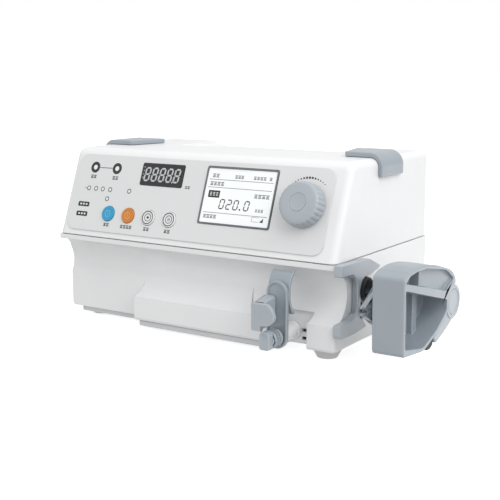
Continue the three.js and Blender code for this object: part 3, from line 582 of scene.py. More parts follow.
def front_scoops(grow):
    """The syringe's trough, the step at the left and the clamp's bay, as tools."""
    y, z, radius = CRADLE
    step_top, step_back, front = 74.3 + grow, STEP_DEPTH + grow, -30
    step = [(front, -10), (step_back, -10), (step_back, step_top, 13), (front, step_top)]
    left, right, back = BAY_LEFT - grow, BAY_RIGHT + grow, BAY_DEPTH + grow
    bay = [(left, front), (right, front), (right, back, 2), (left, back, 2)]
    return [
        rod("x", (y, z), radius + grow, LEFT - 20, RIGHT + 20, 96),
        prism(step, LEFT - 20, STEP_RIGHT + grow, "x", 0, 14),
        prism(bay, -10, BAY_TOP + grow, "z"),
    ]


def lower_casing():
    keep = block(*BEYOND, 0, SEAM - GAP)
    outer = cut(lower_block(0), *front_scoops(0))
    inner = cut(lower_block(-WALL, 1.5), *front_scoops(WALL))
    openings = [
        rod("x", TUBE, TUBE_RADIUS + 0.8, RIGHT - 10, RIGHT + 10),
        rod("x", GUIDE, GUIDE_HOLE, RIGHT - 10, RIGHT + 10, 32),
        rod("y", (CLAMP_X, CLAMP_Z), CLAMP_ROD + 1.8, BAY_DEPTH - 5, BAY_DEPTH + 10),
        slab(*REAR_WINDOW, CASE_DEPTH - 8, CASE_DEPTH + 8, "y", 3),
    ]
    openings += [block(107, 118.5, BAY_DEPTH - 1, BAY_DEPTH + 5, lo, hi) for lo, hi in ((18, 20.8), (11.4, 14))]
    shell = cut(common(outer, keep), inner, *openings)
    piece("lower_casing_shell", shell, WHITE_PLASTIC, "base", ["lower_casing"])


def underside():
    """The vented bottom cover and the four feet."""
    inset, left, back = 3, LEFT + 8, CASE_DEPTH - 6
    corners = [
        (left, STEP_DEPTH + inset, 3), (STEP_RIGHT + inset, STEP_DEPTH + inset, 1), (STEP_RIGHT + inset, inset, 1),
        (BAY_LEFT - inset, inset, 3), (BAY_LEFT - inset, back, 3), (left, back, 3),
    ]
    tray = prism(corners, 3, CASE_BOTTOM - GAP, "z")
    slots = [block(-118 + 9 * i, -114 + 9 * i, 60, 110, 0, 4.4) for i in range(9)]
    piece("bottom_cover_tray", cut(tray, *slots), PALE_PLASTIC, "base", ["bottom_cover"], 0.6)
    for node, x, y, top in (
        ("foot_front_left", -124, 34, 2.7), ("foot_rear_left", -124, 155, 2.7),
        ("foot_front_right", 129, 18, 7.7), ("foot_rear_right", 129, 155, 7.7),
    ):
        sole = 8.5
        rim = sole + top * 0.5
        profile = [
            (0, 0.5), (5.4, 0.5), (5.9, 0), (sole - 0.4, 0), (sole, 0.4), (sole + top * 0.24, top * 0.5),
            (rim, top - 0.3), (rim - 0.3, top), (0, top),
        ]
        piece(f"{node}_pad", moved(turned(profile, 72), by=(x, y, 0)), FOOT_RUBBER, "base", [node])


def bumper(node, side):
    """One band over a top corner that turns down the side wall."""
    front, back, crest, reach, leg = 70.4, 111.1, 160.8, 149, 140.8
    section = [
        (101, CASE_TOP - 3), (RIGHT - 8, CASE_TOP - 8), (RIGHT - 8, leg), (reach, leg, 1.6),
        (reach, crest, 12), (101, crest),
    ]
    plan = [(114, front, 2.4), (reach + 5, front), (reach + 5, back), (104.5, back, 2.4)]
    pad = common(prism(section, front - 0.4, back + 0.4, "y", 0, 14), prism(plan, leg - 5, crest + 0.01, "z", 0, 6))
    shaped = cut(pad, upper_block(GAP))
    if side < 0:
        shaped.transform(Matrix.Scale(-1, 4, (1, 0, 0)))
        shaped.flip_normals()
    piece(f"{node}_pad", shaped, SLATE_PLASTIC, "base", [node], 1.0, 4, 30)


# ---- flange slot and seal on the right-hand end ----
def end_trim():
    """The end plate with the cradle's outline, a slot for the syringe's flange and holes for the rods."""
    plate = [
        (-3.4, 80, 1.5), (-3.4, 70.4, 1.5), (17, 69.8, 2), (25, 63, 5), (25.5, 37.5, 5), (17, 33.5, 4),
        (-4.4, 32.6, 2), (-4.4, 21.4, 4), (20.9, 21.2, 4), (42, 23.2, 3), (34, 31, 3), (31, 44, 6),
        (34, 63.5, 6), (60, 67, 1), (65.4, 69.6, 2), (44.8, 78.5, 4),
    ]
    outer = RIGHT + 7
    body = prism(plate, RIGHT + GAP, outer, "x", 0, 8)
    flange_slot = block(RIGHT, RIGHT + 5, -12, 27.5, 36.5, 66)
    holes = [rod("x", TUBE, 11, RIGHT, outer + 1), rod("x", GUIDE, GUIDE_HOLE, RIGHT, outer + 1, 32)]
    piece("end_trim_plate", cut(body, flange_slot, *holes), SLATE_LIGHT, "base", ["end_trim"], 0.7)


def tube_seal():
    """A wiper ring with a waved outside."""
    inner, waves, points = TUBE_RADIUS + 0.1, 3.5, 24
    profile = [(inner, 0), (10.6, 0), (10.6, 2.6)]
    for i in range(points + 1):
        share = i / points
        profile.append((10.3 - 1.1 * share + 0.42 * math.cos(2 * math.pi * waves * share), 2.9 + 5.9 * share))
    profile.append((inner, 8.8))
    ring = turned(profile, 96, closed=True)
    piece("tube_seal_ring", lengthwise(ring, RIGHT + GAP, *TUBE), RUBBER, "base", ["tube_seal"])


# ---- fascia ----
FACE = GAP + 0.8
INK_DEPTH = 0.06  # how far a printed mark stands up
SUNK = 0.02  # how far it reaches into what it is printed on
LAMPS = [(-119, 44.4), (-110.5, 44.4), (-102.5, 44.4), (-93.7, 44.4), (-71.5, 44.4), (-95, 35.8)]
STATUS_DOTS = (-116.4, -90.8)


def fascia_overlay():
    holes = [panel_rect(LED, GAP, -1, 4), panel_rect(LCD, GAP, -1, 4), rod("z", (KNOB_X, KNOB_UP), 5, -1, 4)]
    holes += [rod("z", (x, BUTTON_UP), BUTTON_RADIUS + 0.3, -1, 4) for x in BUTTONS.values()]
    film = cut(slab(-136.5, 131.5, 5.5, 76.5, GAP, FACE, "z", 9, 0, 14), *holes)
    piece("front_overlay_film", film, FILM, "base", ["front_overlay"], 0.22, 2, 40, on_panel=True)


def bar(x, up, width, height, base=FACE, thick=INK_DEPTH, run=0.25):
    """A printed mark: a very thin rounded bar standing on the overlay."""
    w, h = width / 2, height / 2
    return slab(x - w, x + w, up - h, up + h, base - SUNK, base + thick, "z", min(run, w * 0.9, h * 0.9), 0, 3)


def ring(x, up, inner, outer, base=FACE, thick=INK_DEPTH, sides=48):
    profile = [(inner, base - SUNK), (outer, base - SUNK), (outer, base + thick), (inner, base + thick)]
    return moved(turned(profile, sides, closed=True), by=(x, up, 0))


def dot(x, up, radius, base=FACE, thick=INK_DEPTH, sides=40):
    return rod("z", (x, up), radius, base - SUNK, base + thick, sides)


def label(x, up, count, size=1.75, gap=0.55, base=FACE, thick=INK_DEPTH):
    """A generic legend: a row of small blocks of three strokes each, none of them a letter."""
    pitch = size + gap
    start = x - pitch * (count - 1) / 2
    return [
        bar(start + pitch * i, up + size * rise, size * width, size * 0.26, base, thick, 0.1)
        for i in range(count)
        for rise, width in ((0.34, 1), (-0.08, 0.78), (-0.46, 1))
    ]


def printed(name, marks, material, body="base"):
    """All the marks of one colour on one surface, as one piece."""
    piece(name, merged(*marks), material, body, on_panel=True)


def fascia_print():
    status_up, badge_x, badge_ups = 64.2, -121, (29.2, 20.2)
    black = [ring(x, status_up, 2.3, 5.2) for x in STATUS_DOTS]
    black += [bar(badge_x, up, 13, 4.4, run=0.9) for up in badge_ups]
    for x in STATUS_DOTS:
        black += label(x, 55.6, 2, 2.9)
    for x, up, count in zip(BUTTONS.values(), (12.4, 12.2, 12.2, 12.1), (2, 4, 2, 2)):
        black += label(x, up, count, 2.8)
    black += label(-9, 52, 2, 2.2)
    # A fan of marks over the knob, the largest in the middle.
    fan, first, pitch, middle = 23.4, 130, 6.4, 6
    for i in range(2 * middle + 1):
        angle = math.radians(first - pitch * i)
        x, up = KNOB_X + fan * math.cos(angle), KNOB_UP + fan * math.sin(angle)
        size = 0.8 + 1.0 * math.exp(-((i - middle) / 3.2) ** 2)
        mark = bar(0, 0, size, size, run=0.2)
        mark.transform(Matrix.Translation((x, up, 0)) @ Matrix.Rotation(angle - math.pi / 2, 4, "Z"))
        black.append(mark)
    printed("fascia_print_black", black, INK)
    grey = [bar(sum(STATUS_DOTS) / 2, status_up, 14.6, 0.7, run=0.2), bar(-122.6, 44.4, 2.0, 0.5, run=0.1)]
    grey += [ring(x, up, 1.4, 2.25) for x, up in LAMPS]
    printed("fascia_print_grey", grey, INK_GREY)
    pale = [dot(x, status_up, 2.0) for x in STATUS_DOTS]
    pale += [
        bar(badge_x + 3.3 * k, up, 1.9, 1.5, FACE + 0.05, INK_DEPTH, 0.3) for k in (-1, 0, 1) for up in badge_ups
    ]
    pale += [dot(x, up, 1.3) for x, up in LAMPS]
    printed("fascia_print_white", pale, INK_WHITE)


SEVEN = {0: "abcdef", 2: "abged", 8: "abcdefg"}


def digit(x, up, width, height, stroke, which, base, thick=INK_DEPTH):
    """One seven-segment digit, leaning a little as such displays do."""
    half, lean = height / 2, 0.12
    places = {
        "a": (0, half, True), "g": (0, 0, True), "d": (0, -half, True),
        "f": (-width / 2, half / 2, False), "b": (width / 2, half / 2, False),
        "e": (-width / 2, -half / 2, False), "c": (width / 2, -half / 2, False),
    }
    marks = []
    for key in SEVEN[which]:
        dx, dy, flat = places[key]
        long = (width if flat else half) - stroke * 0.35
        s = stroke / 2
        e = long / 2
        shape = [(-e, 0), (-e + s, -s), (e - s, -s), (e, 0), (e - s, s), (-e + s, s)]
        if not flat:
            shape = [(-b, a) for a, b in shape]
        points = [(x + dx + a + lean * (dy + b), up + dy + b) for a, b in shape]
        marks.append(prism(points, base - SUNK, base + thick, "z", 0, 1))
    return marks


def led_display():
    pane = join(panel_rect(LED, 0, GAP, 1.5, 1.8), panel_rect(LED, -1.3, -2, 1))
    piece("led_window_pane", pane, WINDOW, "base", ["led_window"], 0.3, 3, 40, on_panel=True)
    x, up = LED[:2]
    face, pitch = 1.5, 8.1
    bright = []
    for i in range(-2, 3):
        bright += digit(x + pitch * i, up, 4.9, 11.4, 1.5, 8, face)
    bright.append(dot(x + pitch + 4.0, up - 6.0, 0.75, face, sides=20))
    printed("led_digits", bright, SEGMENTS)
    dim = [bar(x - 20.6, up + 6.4 - 3.2 * i, 1.1, 1.1, face, 0.05, 0.3) for i in range(4)]
    printed("led_annunciators", dim, SEGMENTS_DIM)


def lcd_display():
    bezel = cut(panel_rect(LCD, -0.1, GAP, 1.8, 2.2), panel_rect(LCD, -1.45, -1, 4, 1.2))
    piece("lcd_bezel_frame", bezel, BEZEL, "base", ["lcd_bezel"], 0.45, 3, 40, on_panel=True)
    glass = join(panel_rect(LCD, -1.5, GAP + 0.02, 1.1, 1.1), panel_rect(LCD, -LCD_RIM - GAP, -1.5, 0.5, 1.2))
    piece("lcd_glass_pane", glass, SCREEN, "base", ["lcd_glass"], 0.12, 2, 40, on_panel=True)
    x, up, width, height = LCD
    face, heavy, fine = 1.1, 0.04, 0.03
    w, h = width / 2 - LCD_RIM - 1.2, height / 2 - LCD_RIM - 1.2
    left, right, bottom, top = x - w, x + w, up - h, up + h
    dark = [bar(left + 7.5, up + 1.2, 11.5, 6.2, face, heavy, 0.3)]
    first, pitch, point_room = left + 17.2, 7.0, 3.7
    for i, which in enumerate((0, 2, 0, 0)):
        offset = pitch * i + (point_room if i == 3 else 0)
        dark += digit(first + offset, up - 7.0, 4.1, 7.8, 1.0, which, face, heavy)
    dark.append(dot(first + pitch * 2 + 4.6, up - 10.6, 0.8, face, heavy, 20))
    wedge = [(right - 6.4, bottom + 1.6), (right - 3.0, bottom + 1.6), (right - 3.0, bottom + 5.2)]
    dark.append(prism(wedge, face - SUNK, face + heavy, "z"))
    printed("lcd_marks_dark", dark, INK)
    grey = [bar(x, rule, 2 * w, 0.45, face, fine) for rule in (top - 7.4, top - 14.2, bottom + 6.4)]
    for middle, row, count, size, gap in (
        (left + 6.0, top - 3.9, 2, 3.0, 0.6), (x - 2.0, top - 4.0, 3, 2.6, 0.4),
        (right - 13.5, top - 4.0, 4, 2.6, 0.6), (right - 2.9, top - 4.0, 1, 2.6, 0.6),
        (left + 8.6, top - 10.8, 4, 3.0, 0.6), (right - 8.5, up + 2.0, 4, 3.1, 0.7),
        (right - 8.6, up - 10.0, 3, 2.2, 0.6), (left + 7.4, bottom + 3.2, 4, 2.9, 0.5),
    ):
        grey += label(middle, row, count, size, gap, face, fine)
    grey += [bar(right - 10.8, bottom + rise, 7, 0.3, face, fine) for rise in (5.4, 1.8)]
    grey.append(bar(right - 14.2, bottom + 3.6, 0.3, 3.6, face, fine))
    printed("lcd_marks_grey", grey, INK_GREY)
    pale = [
        bar(left + 4.4 + 3.1 * k, up + 1.2 + dy, 1.9, 0.6, face + fine, fine, 0.1)
        for k in range(3) for dy in (-1.2, 0, 1.2)
    ]
    printed("lcd_marks_pale", pale, INK_WHITE)


def push_buttons():
    """Dished keys, each with a ring and a plain mark printed on it."""
    r, up = BUTTON_RADIUS, BUTTON_UP
    shoulder, edge, sag, thick = 1.5, 0.8, 0.42, 0.1
    crest = shoulder + edge
    dish = crest - sag + 0.02
    looks = {
        "start_button": (BLUE, "button_blue", BLUE_PRINT), "stop_button": (ORANGE, "button_orange", ORANGE_PRINT),
        "purge_button": (KEY_WHITE, "button_white", INK), "mute_button": (KEY_WHITE, "button_white", INK),
    }
    profile = [(0, -4.6), (r + 1.3, -4.6), (r + 1.3, -3.1), (r, -3.1), (r, shoulder)]
    for k in range(1, 5):
        angle = math.pi / 8 * k
        profile.append((r - edge + edge * math.cos(angle), shoulder + edge * math.sin(angle)))
    profile += [(r * s, crest - sag * (1 - (s * 1.14) ** 2)) for s in (0.86, 0.7, 0.5, 0.3, 0.12)]
    profile.append((0, crest - sag))
    for name, x in BUTTONS.items():
        material, slot, ink = looks[name]
        cap = moved(turned(profile, 96), by=(x, up, 0))
        piece(f"{name}_cap", cap, material, name, [name], on_panel=True)
        if ink is INK:
            marks = [ring(x, up, 5.2, 6.0, 2.27, INK_DEPTH, 64), ring(x, up, 3.0, 3.6, dish + 0.07, 0.08)]
            if name == "purge_button":
                marks += [bar(x, up, 2.6, 1.1, dish, thick), bar(x, up, 1.1, 2.2, dish, thick)]
            else:
                marks += [bar(x + side, up, 0.6, 2.6, dish, thick) for side in (-0.7, 0.7)]
        else:
            marks = [ring(x, up, 2.6, 3.15, dish + 0.07, 0.08), bar(x, up + 0.5, 0.55, 2.6, dish, thick)]
        printed(f"{name}_print", marks, ink, name)


def knob():
    """A shallow crowned knob with a scalloped rim. A profile point is [radius, height, share of the groove]."""
    base, top = 2.4, 2.4 + KNOB_HEIGHT
    r = KNOB_RADIUS
    lobes = 26
    sides = lobes * 14
    profile = [
        (0, base, 0), (r - 1.2, base, 0), (r - 0.5, base + 0.35, 0.3), (r - 0.2, base + 1.2, 1),
        (r - 0.35, base + 5, 1), (r - 0.55, top - 4.2, 1), (r - 0.8, top - 2.9, 0.85), (r - 1.3, top - 1.9, 0.5),
        (r - 2.2, top - 1.1, 0.2), (r - 3.4, top - 0.6, 0.05), (r - 5.2, top - 0.3, 0), (r - 8.4, top - 0.08, 0),
        (7.9, top, 0), (7.6, top - 0.1, 0), (7.4, top - 0.45, 0), (7.35, top - 1.2, 0), (0, top - 1.2, 0),
    ]
    bm = bmesh.new()
    rings = []
    for radius, height, depth in profile:
        points = []
        for i in range(sides if radius else 1):
            angle = 2 * math.pi * i / sides
            groove = 0.5 + 0.5 * math.cos(lobes * angle)
            local = radius - 0.75 * depth * groove**2.2
            points.append(bm.verts.new((local * math.cos(angle), local * math.sin(angle), height)))
        rings.append(points)
    skin(bm, rings)
    body = cut(moved(to_mesh(bm), by=(KNOB_X, KNOB_UP, 0)), rod("z", (KNOB_X, KNOB_UP), 3.1, 0, 11.7))
    piece("knob_body", body, SLATE_LIGHT, "knob", ["knob"], on_panel=True)
    dish = [(0, top - 1.0), (7.2, top - 1.0), (7.2, top - 0.25), (6.9, top - 0.12)]
    dish += [(6.6 * s, top - 0.14 - 0.62 * (1 - s * s)) for s in (1, 0.9, 0.75, 0.6, 0.45, 0.3, 0.15)]
    dish.append((0, top - 0.76))
    cap = moved(turned(dish, 96), by=(KNOB_X, KNOB_UP, 0))
    piece("knob_dimple", cap, SLATE_LIGHT, "knob", ["knob_cap"], on_panel=True)


# ---- drive head ----
def drive_rods():
    carriage_face = 20.3
    tube = rod("x", TUBE, TUBE_RADIUS, carriage_face, PLATE_RIGHT, 96)
    tube = cut(tube, rod("x", TUBE, 4.5, carriage_face - 5.3, PLATE_RIGHT + 5, 48))
    piece("drive_tube_body", tube, ANODISED, "head", ["drive_tube"], 0.3)
    guide = rod("x", GUIDE, GUIDE_RADIUS, carriage_face, PLATE_LEFT - GAP, 48)
    piece("guide_rod_body", guide, STEEL_X, "head", ["guide_rod"], 0.2)


HEAD_OUTLINE = [
    (-19.2, 20.6, 3), (-20.3, 79, 3), (-12, 83, 4), (4, 84.6, 6), (20, 83.8, 6), (42, 79.8, 6),
    (70, 71.8, 5), (79.5, 64, 4), (79.5, 59),
]
HEAD_RAMP = [(62, 36.6, 2), (42, 25, 6), (19, 16.8, 5)]
LOWER_POCKET = [
    (-17.4, 70.4, 2), (-16.4, 25.8, 3), (17, 19.8, 4), (41.2, 27.8, 4), (61.4, 39.4, 3), (61.8, 48.8, 2),
]
UPPER_POCKET = [(-17.4, 75.6, 1), (18, 66.8, 1), (18, 80.6, 1), (4, 81.4, 4), (-11, 79.8, 3)]
SHALLOW_POCKET = [(17.5, 66.9), (60.6, 55.9, 4), (64.6, 60.4, 3), (74.8, 63.4, 3), (59, 73.4, 6), (17.5, 81.2)]


def dished_panel():
    """The tool for the shallow panel: its floor runs deeper towards the front, in a gentle curve."""
    walls = prism(SHALLOW_POCKET, HEAD_RIGHT - 8, HEAD_RIGHT + 5, "x", 0, 10)
    front, back, deep, shallow, steps = 12, 78, 6.2, 1.8, 16
    curve = []
    for k in range(steps + 1):
        share = k / steps
        curve.append((HEAD_RIGHT - deep + (deep - shallow) * share**1.6, front + (back - front) * share))
    profile = [(HEAD_RIGHT + 8, front), *curve, (HEAD_RIGHT + 8, back)]
    return common(walls, prism(profile, 50, 90, "z"))


def head_housing():
    """A cast-looking block hollowed into pockets, with a round seat for the lever's pivot."""
    body = prism([*HEAD_OUTLINE, (68, 50, 2), *HEAD_RAMP], HEAD_LEFT, HEAD_RIGHT, "x", 1.4, 8, 4)
    rib = prism([(32, 24), (40, 26), (40, 56), (32, 58)], HEAD_BACK - 1, HEAD_BACK + 5, "x")
    seat = rod("x", PIVOT, 11, HEAD_LEFT, HEAD_LEFT + 5)
    tools = [rod("x", PIVOT, 4.1, HEAD_LEFT - 5, HEAD_LEFT + 10), rod("x", TUBE, 3.4, HEAD_LEFT - 5, HEAD_LEFT + 3)]
    lever_room = rod("x", PIVOT, PIVOT_RADIUS + 0.8, HEAD_LEFT + 5, HEAD_RIGHT + 5, 96)
    pockets = [
        prism(LOWER_POCKET, HEAD_BACK, HEAD_RIGHT + 5, "x"),
        prism(UPPER_POCKET, HEAD_RIGHT - 14, HEAD_RIGHT + 5, "x"),
        dished_panel(),
    ]
    hollow = cut(cut(body, *pockets), lever_room)
    made = cut(join(hollow, rib, seat), *tools)
    piece("head_housing_body", made, SLATE_PLASTIC, "head", ["head_housing"], 0.5)


def head_plate():
    """The plate that faces the syringe, with the tip that feels the plunger."""
    body = prism([(-8, 30, 5), (52, 30, 5), (52, 76, 8), (-8, 76, 8)], PLATE_LEFT, PLATE_RIGHT, "x", 0.6)
    through = (PLATE_LEFT - 1, PLATE_RIGHT + 1)
    tools = [rod("x", (CLAW_Y, CLAW_Z + side * CLAW_SPREAD), 2.7, *through, 40) for side in (-1, 1)]
    tools += [rod("x", PLUNGER, 3.6, *through, 48), rod("x", TUBE, TUBE_RADIUS + GAP, *through)]
    piece("head_plate_body", cut(body, *tools), SLATE_PLASTIC, "head", ["head_plate"], 0.25)
    tip = [(0, -3.5), (2.6, -3.5), (3.2, -3.2), (3.5, -2.6), (3.5, 1.2), (0, 1.2)]
    sensor = lengthwise(turned(tip, 48), PLATE_LEFT, *PLUNGER)
    piece("plunger_sensor_tip", sensor, RUBBER, "plunger_sensor", ["plunger_sensor"], 0.15)


def claw(node, up):
    """A beaked arm on its pivot pin, above the plunger where up is 1 and below it where up is -1."""
    y, z, plunger_y = CLAW_Y, CLAW_Z, PLUNGER[0]
    corners = [
        (y + 5, z + up * 2, 2), (y + 5, z + up * 11.4, 4), (y - 4, z + up * 13.6, 6), (plunger_y + 4, z + up * 11.8, 5),
        (plunger_y - 14.7, z + up * 2.6, 0.8), (plunger_y - 12, z + up, 0.8), (y - 7, z + up * 0.8, 2),
    ]
    pin_at = (y, z + up * CLAW_SPREAD)
    arm = prism(corners, PLATE_LEFT - 11, PLATE_LEFT - 6.5, "x", 0.5)
    pin = rod("x", pin_at, 2.6, PLATE_LEFT - 8, PLATE_RIGHT, 48)
    collar = rod("x", pin_at, 4.6, PLATE_LEFT - 8, PLATE_LEFT - GAP, 64)
    piece(f"{node}_hook", join(arm, collar, pin), SLATE_LIGHT, node, [node], 0.4)


def clutch_lever():
    """A round hub with a curved arm and a soft tip."""
    disc = rod("x", PIVOT, PIVOT_RADIUS, HEAD_LEFT + 5.4, HEAD_RIGHT - 1, 96)
    arm = prism([
        (72, 50, 2), (90, 42, 3), (84, 31.5, 5), (60, 20.2, 12), (45.6, 16.4, 2), (41.5, 22.4, 2), (63, 34, 3),
    ], HEAD_LEFT + 6, HEAD_RIGHT - 2, "x", 1.2)
    pin = rod("x", PIVOT, 4, HEAD_LEFT + 1, HEAD_LEFT + 8, 48)
    dish = rod("x", PIVOT, 10.5, HEAD_RIGHT - 1.5, HEAD_RIGHT + 2, 96)
    lever = cut(join(disc, arm, pin), dish)
    piece("clutch_lever_arm", lever, SLATE_LIGHT, "lever", ["clutch_lever"], 0.6)
    outline = [(33.6, 19.4, 2), (41.2, 22, 1), (45.3, 16.2, 1), (40, 12.8, 3), (31.4, 13.6, 3)]
    tip = prism(outline, HEAD_LEFT + 8, HEAD_RIGHT - 4, "x", 0.8)
    piece("lever_tip_pad", tip, RUBBER, "lever", ["lever_tip"], 0.3)


# ---- syringe clamp ----
def slot_outline(x, low, high, radius, steps=20):
    """An upright slot with round ends."""
    points = []
    for middle, first in ((high, 0), (low, math.pi)):
        for k in range(steps + 1):
            angle = first + math.pi * k / steps
            points.append((x + radius * math.cos(angle), middle + radius * math.sin(angle)))
    return points


def clamp_arm():
    """An upright plate, recessed in front behind a thin rim."""
    top, bottom, rim = ARM_TOP - ARM_HALF, CLAMP_Z - 0.2, 1.7
    plate = prism(slot_outline(CLAMP_X, bottom, top, ARM_HALF), ARM_FRONT, ARM_BACK, "y", 0.7)
    recess = prism(slot_outline(CLAMP_X, bottom, top, ARM_HALF - rim), ARM_FRONT - 2, ARM_FRONT + ARM_RECESS, "y")
    bore = rod("y", (CLAMP_X, CLAMP_Z), CLAMP_ROD + GAP, ARM_FRONT - 5, ARM_BACK + 5)
    piece("clamp_arm_plate", cut(plate, recess, bore), SLATE_PLASTIC, "clamp_arm", ["clamp_arm"], 0.35)


def clamp_jaw():
    """The bowed pad that presses on the barrel: the front of a thin ring."""
    outer, inner, half, z, x = 26.1, 23.4, 17.2, 53.2, CLAMP_X
    middle = (ARM_BACK + GAP + outer, z)
    bow = cut(rod("x", middle, outer, x - 10.5, x + 9.5, 180), rod("x", middle, inner, x - 12, x + 12, 180))
    keep = slab(-20, 6.5, z - half, z + half, x - 20, x + 20, "x")
    piece("clamp_jaw_pad", common(bow, keep), SLATE_PLASTIC, "clamp_arm", ["clamp_jaw"], 0.7)


def clamp_grip():
    """A D-shaped finger plate on a narrower neck that stands in the arm's recess."""
    x, back = CLAMP_X, ARM_FRONT + ARM_RECESS - GAP
    left = x - 10.6
    plate = [
        (left, 27, 2), (x - 2.5, 27, 1), (x - 2.5, 31.2, 1), (x + 5.5, 31.8, 3), (x + 11, 37, 3), (x + 9.6, 44, 3),
        (x + 4.8, 49.4, 3), (left, 49.4, 2),
    ]
    neck = [(left, 28, 1), (x - 3, 28, 1), (x - 1, 32, 2), (x - 1, 52, 3), (left, 52, 2)]
    slope = prism([(-31, 26), (-31, 48.6), (ARM_FRONT, 52), (back + 1, 52), (back + 1, 26)], x - 12, x + 12, "x")
    slim = block(x - ARM_HALF + 2.6, x + ARM_HALF - 2.6, ARM_FRONT - 1, back, 0, 90)
    room = cut(block(x - 40, x + 40, ARM_FRONT - GAP, 20, 0, 90), slim)
    grip = cut(join(prism(plate, -33, -29, "y", 0, 8), common(prism(neck, -30, back, "y", 0, 6), slope)), room)
    piece("clamp_grip_block", grip, SLATE_LIGHT, "clamp_arm", ["clamp_grip"], 0.7)


def clamp_rod():
    """The arm's rod with its end tab, both springs and the boss that it runs through."""
    x, z = CLAMP_X, CLAMP_Z
    shoulder, spigot_front, spigot_radius = -24, -28, 2.5
    shaft = rod("y", (x, z), CLAMP_ROD, shoulder, 78, 64)
    shaft = join(shaft, rod("y", (x, z), spigot_radius, spigot_front, shoulder + 1, 40))
    piece("clamp_rod_body", shaft, STEEL, "clamp_arm", ["clamp_rod"], 0.4)
    half, low, high = 4.6, 11.6, 26.6
    outline = [(x - half, low, 2), (x + half, low, 2), (x + half, high, 4.4), (x - half, high, 4.4)]
    tab = prism(outline, -30.4, shoulder - GAP, "y", 0.3)
    bore = rod("y", (x, z), spigot_radius + 0.1, spigot_front - 0.1, 0, 40)
    cup = rod("y", (x, 21.6), 2.9, -33, -29.5, 48)
    piece("clamp_end_tab_body", cut(tab, bore, cup), SLATE_LIGHT, "clamp_arm", ["clamp_end_tab"], 0.5)
    spring = coil(6.4, 1.0, shoulder + 1, -13.7, 4.2, x, z)
    piece("clamp_front_spring_coil", spring, SLATE_PLASTIC, "clamp_arm", ["clamp_front_spring"])
    fixed_end, free_end, pull = 20.4, 70.4, 30
    spring = coil(6.3, 0.6, fixed_end, free_end, 7, x, z)
    spring = piece("clamp_return_spring_coil", spring, STEEL, "base", ["clamp_return_spring"])
    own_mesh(spring)
    wall = BAY_DEPTH
    sleeve = rod("y", (x, z), 6.5, wall - 2, wall + 4)
    boss = join(sleeve, rod("y", (x, z), 6.6, -7, wall - 2, 80), rod("y", (x, z), 7.6, wall - 3, wall - GAP, 80))
    boss = cut(boss, rod("y", (x, z), CLAMP_ROD + 0.1, -20, 40))
    piece("clamp_bushing_boss", boss, WHITE_PLASTIC, "base", ["clamp_bushing"], 0.5)


# ---- rear connectors ----
REAR_PANEL_FRONT, REAR_FACE = 169.6, 172.2
CONNECTOR_Z = 41
INLET_X, PORT_X = -82, -44


def plug(x, half_width, half_height, lo, hi, run=0.0):
    """A rounded rectangular part of a connector."""
    return slab(x - half_width, x + half_width, CONNECTOR_Z - half_height, CONNECTOR_Z + half_height, lo, hi, "y", run)


def rear_panel():
    x0, x1, z0, z1 = REAR_WINDOW
    rim = 4
    plate = slab(x0 - rim, x1 + rim, z0 - rim, z1 + rim, REAR_PANEL_FRONT, REAR_FACE, "y", 3)
    holes = [
        block(x - w, x + w, 160, 180, CONNECTOR_Z - h, CONNECTOR_Z + h)
        for x, w, h in ((INLET_X, 14 + GAP, 10 + GAP), (PORT_X, 9 + GAP, 5 + GAP))
    ]
    piece("rear_panel_plate", cut(plate, *holes), PALE_PLASTIC, "base", ["rear_panel"], 0.3)


def mains_inlet():
    x, z = INLET_X, CONNECTOR_Z
    shell = plug(x, 14, 10, 152, REAR_FACE + 1, 3)
    lip = plug(x, 17, 13, REAR_FACE + GAP, REAR_FACE + 1.8, 2)
    w, h = 11.5, 7.5
    cavity = prism([(x - w, z - h, 2), (x + w, z - h, 2), (x + w, z + h, 4), (x - w, z + h, 4)], 156, 190, "y")
    shell = cut(join(shell, lip), cavity)
    piece("mains_inlet_shell", shell, BLACK_PLASTIC, "base", ["mains_inlet"], 0.4)
    pins = [block(x + dx - 1, x + dx + 1, 155, 170, z - 2, z + 2) for dx in (-7, 0, 7)]
    piece("mains_inlet_pins", merged(*pins), STEEL, "base", (), 0.3)


def serial_port():
    x, z = PORT_X, CONNECTOR_Z
    body = plug(x, 9, 5, 160, REAR_FACE + 2.4, 2)
    flange = plug(x, 14, 6.2, REAR_FACE + GAP, REAR_FACE + 1.3, 1)
    shell = cut(join(body, flange), plug(x, 8, 4, 166, 190, 1.5))
    piece("serial_port_shell", shell, STEEL, "base", ["serial_port"], 0.25)
    pitch, rise = 2.8, 1.5
    places = [(x + pitch * (i - 2), z + rise) for i in range(5)] + [(x + pitch * (i - 1.5), z - rise) for i in range(4)]
    contacts = [rod("y", place, 0.5, 165, 171, 16) for place in places]
    piece("serial_port_pins", merged(*contacts), BRONZE, "base")


def rear_screws():
    heads = []
    front, half, cross = REAR_FACE + 0.7, 1.5, 0.25
    for x, z in ((INLET_X - 20.0, 58), (PORT_X + 17.5, 58), (INLET_X - 20.0, 24), (PORT_X + 17.5, 24)):
        screw = rearwards(turned([(0, -2), (2.4, -2), (2.4, 0.6), (1.8, 1.2), (0, 1.3)], 40), x, REAR_FACE, z)
        slots = [block(x - w, x + w, front, REAR_FACE + 3, z - h, z + h) for w, h in ((half, cross), (cross, half))]
        heads.append(cut(screw, *slots))
    piece("rear_screws", merged(*heads), STEEL, "base", (), 0.12)


# ---- camera, light and floor ----
def area(name, place, target, size, power):
    """A square lamp aimed at a point."""
    data = bpy.data.lights.new(name, "AREA")
    data.shape = "SQUARE"
    data.size = size
    data.energy = power
    lamp = placed(name, data)
    lamp.location = place
    lamp.rotation_euler = (Vector(target) - Vector(place)).to_track_quat("-Z", "Y").to_euler()


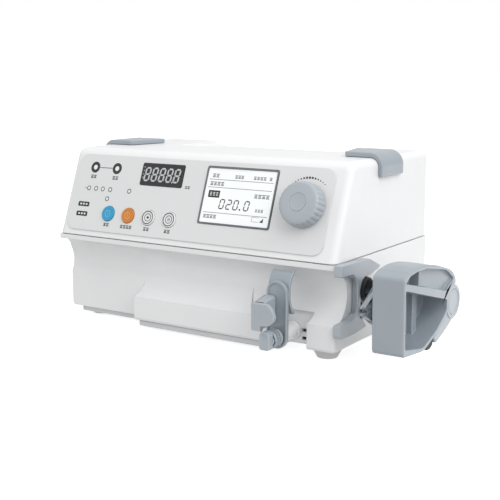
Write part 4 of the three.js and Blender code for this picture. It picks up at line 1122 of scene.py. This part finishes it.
def sky(tree):
    """White paper behind the pump, and a soft light that is strongest overhead."""
    where = add(tree, "TexCoord").outputs["Generated"]
    height = add(tree, "SeparateXYZ", {0: where}).outputs["Z"]
    gradient = add(tree, "ValToRGB", {"Fac": span(tree, height, 0, 1, -1, 1)})
    stops = gradient.color_ramp.elements
    stops.new(0.5)
    for stop, level in zip(stops, (0.40, 0.78, 0.84)):
        stop.color = (level, level, level, 1)
    to_camera = add(tree, "LightPath").outputs["Is Camera Ray"]
    seen = blend_colours(tree, to_camera, gradient.outputs["Color"], (1, 1, 1))
    feed(tree, tree.nodes["Background"], {"Color": seen})


def floor_and_camera():
    az, el, distance = math.radians(33.1), math.radians(10.3), 0.8103
    target = ORIGIN + Vector((0.0663, 0.0, 0.0836))
    back = Vector((math.sin(az) * math.cos(el), -math.cos(az) * math.cos(el), math.sin(el)))
    data = bpy.data.cameras.new("camera")
    data.lens, data.sensor_width = 72.0, 36.0
    data.clip_start, data.clip_end = 0.01, 200
    camera = placed("camera", data)
    camera.location = target + back * distance
    camera.rotation_euler = (-back).to_track_quat("-Z", "Y").to_euler()
    scene.camera = camera

    sheet = turned([(radius, 0) for radius in (0, 0.4, 0.9, 2.0, 6.0, 40.0)], 64)
    sheet.name = "floor"
    sheet.materials.append(lit("floor_paper", (0.95, 0.95, 0.95), 0.62, 0.85))
    floor = placed("floor", sheet)
    floor.visible_diffuse = False


def studio_light():
    world = bpy.data.worlds.new("studio")
    scene.world = world
    world.use_nodes = True
    sky(world.node_tree)
    area("key_right", (1.3, -0.5, 1.1), (0.05, 0, 0.08), 1.2, 14)
    area("top_soft", (0.0, 0.1, 1.6), (0, 0, 0), 1.8, 4.5)
    area("left_fill", (-1.0, -1.3, 0.7), (0, 0, 0.08), 1.0, 1.5)
    scene.view_settings.view_transform = "Standard"
    scene.view_settings.look = "None"
    scene.view_settings.exposure = 0.0


dress_cad_nodes()
upper_casing()
lower_casing()
underside()
bumper("bumper_right", 1)
bumper("bumper_left", -1)
end_trim()
tube_seal()
fascia_overlay()
fascia_print()
led_display()
lcd_display()
push_buttons()
knob()
drive_rods()
head_housing()
head_plate()
claw("upper_claw", 1)
claw("lower_claw", -1)
clutch_lever()
clamp_arm()
clamp_jaw()
clamp_grip()
clamp_rod()
rear_panel()
mains_inlet()
serial_port()
rear_screws()
floor_and_camera()
studio_light()
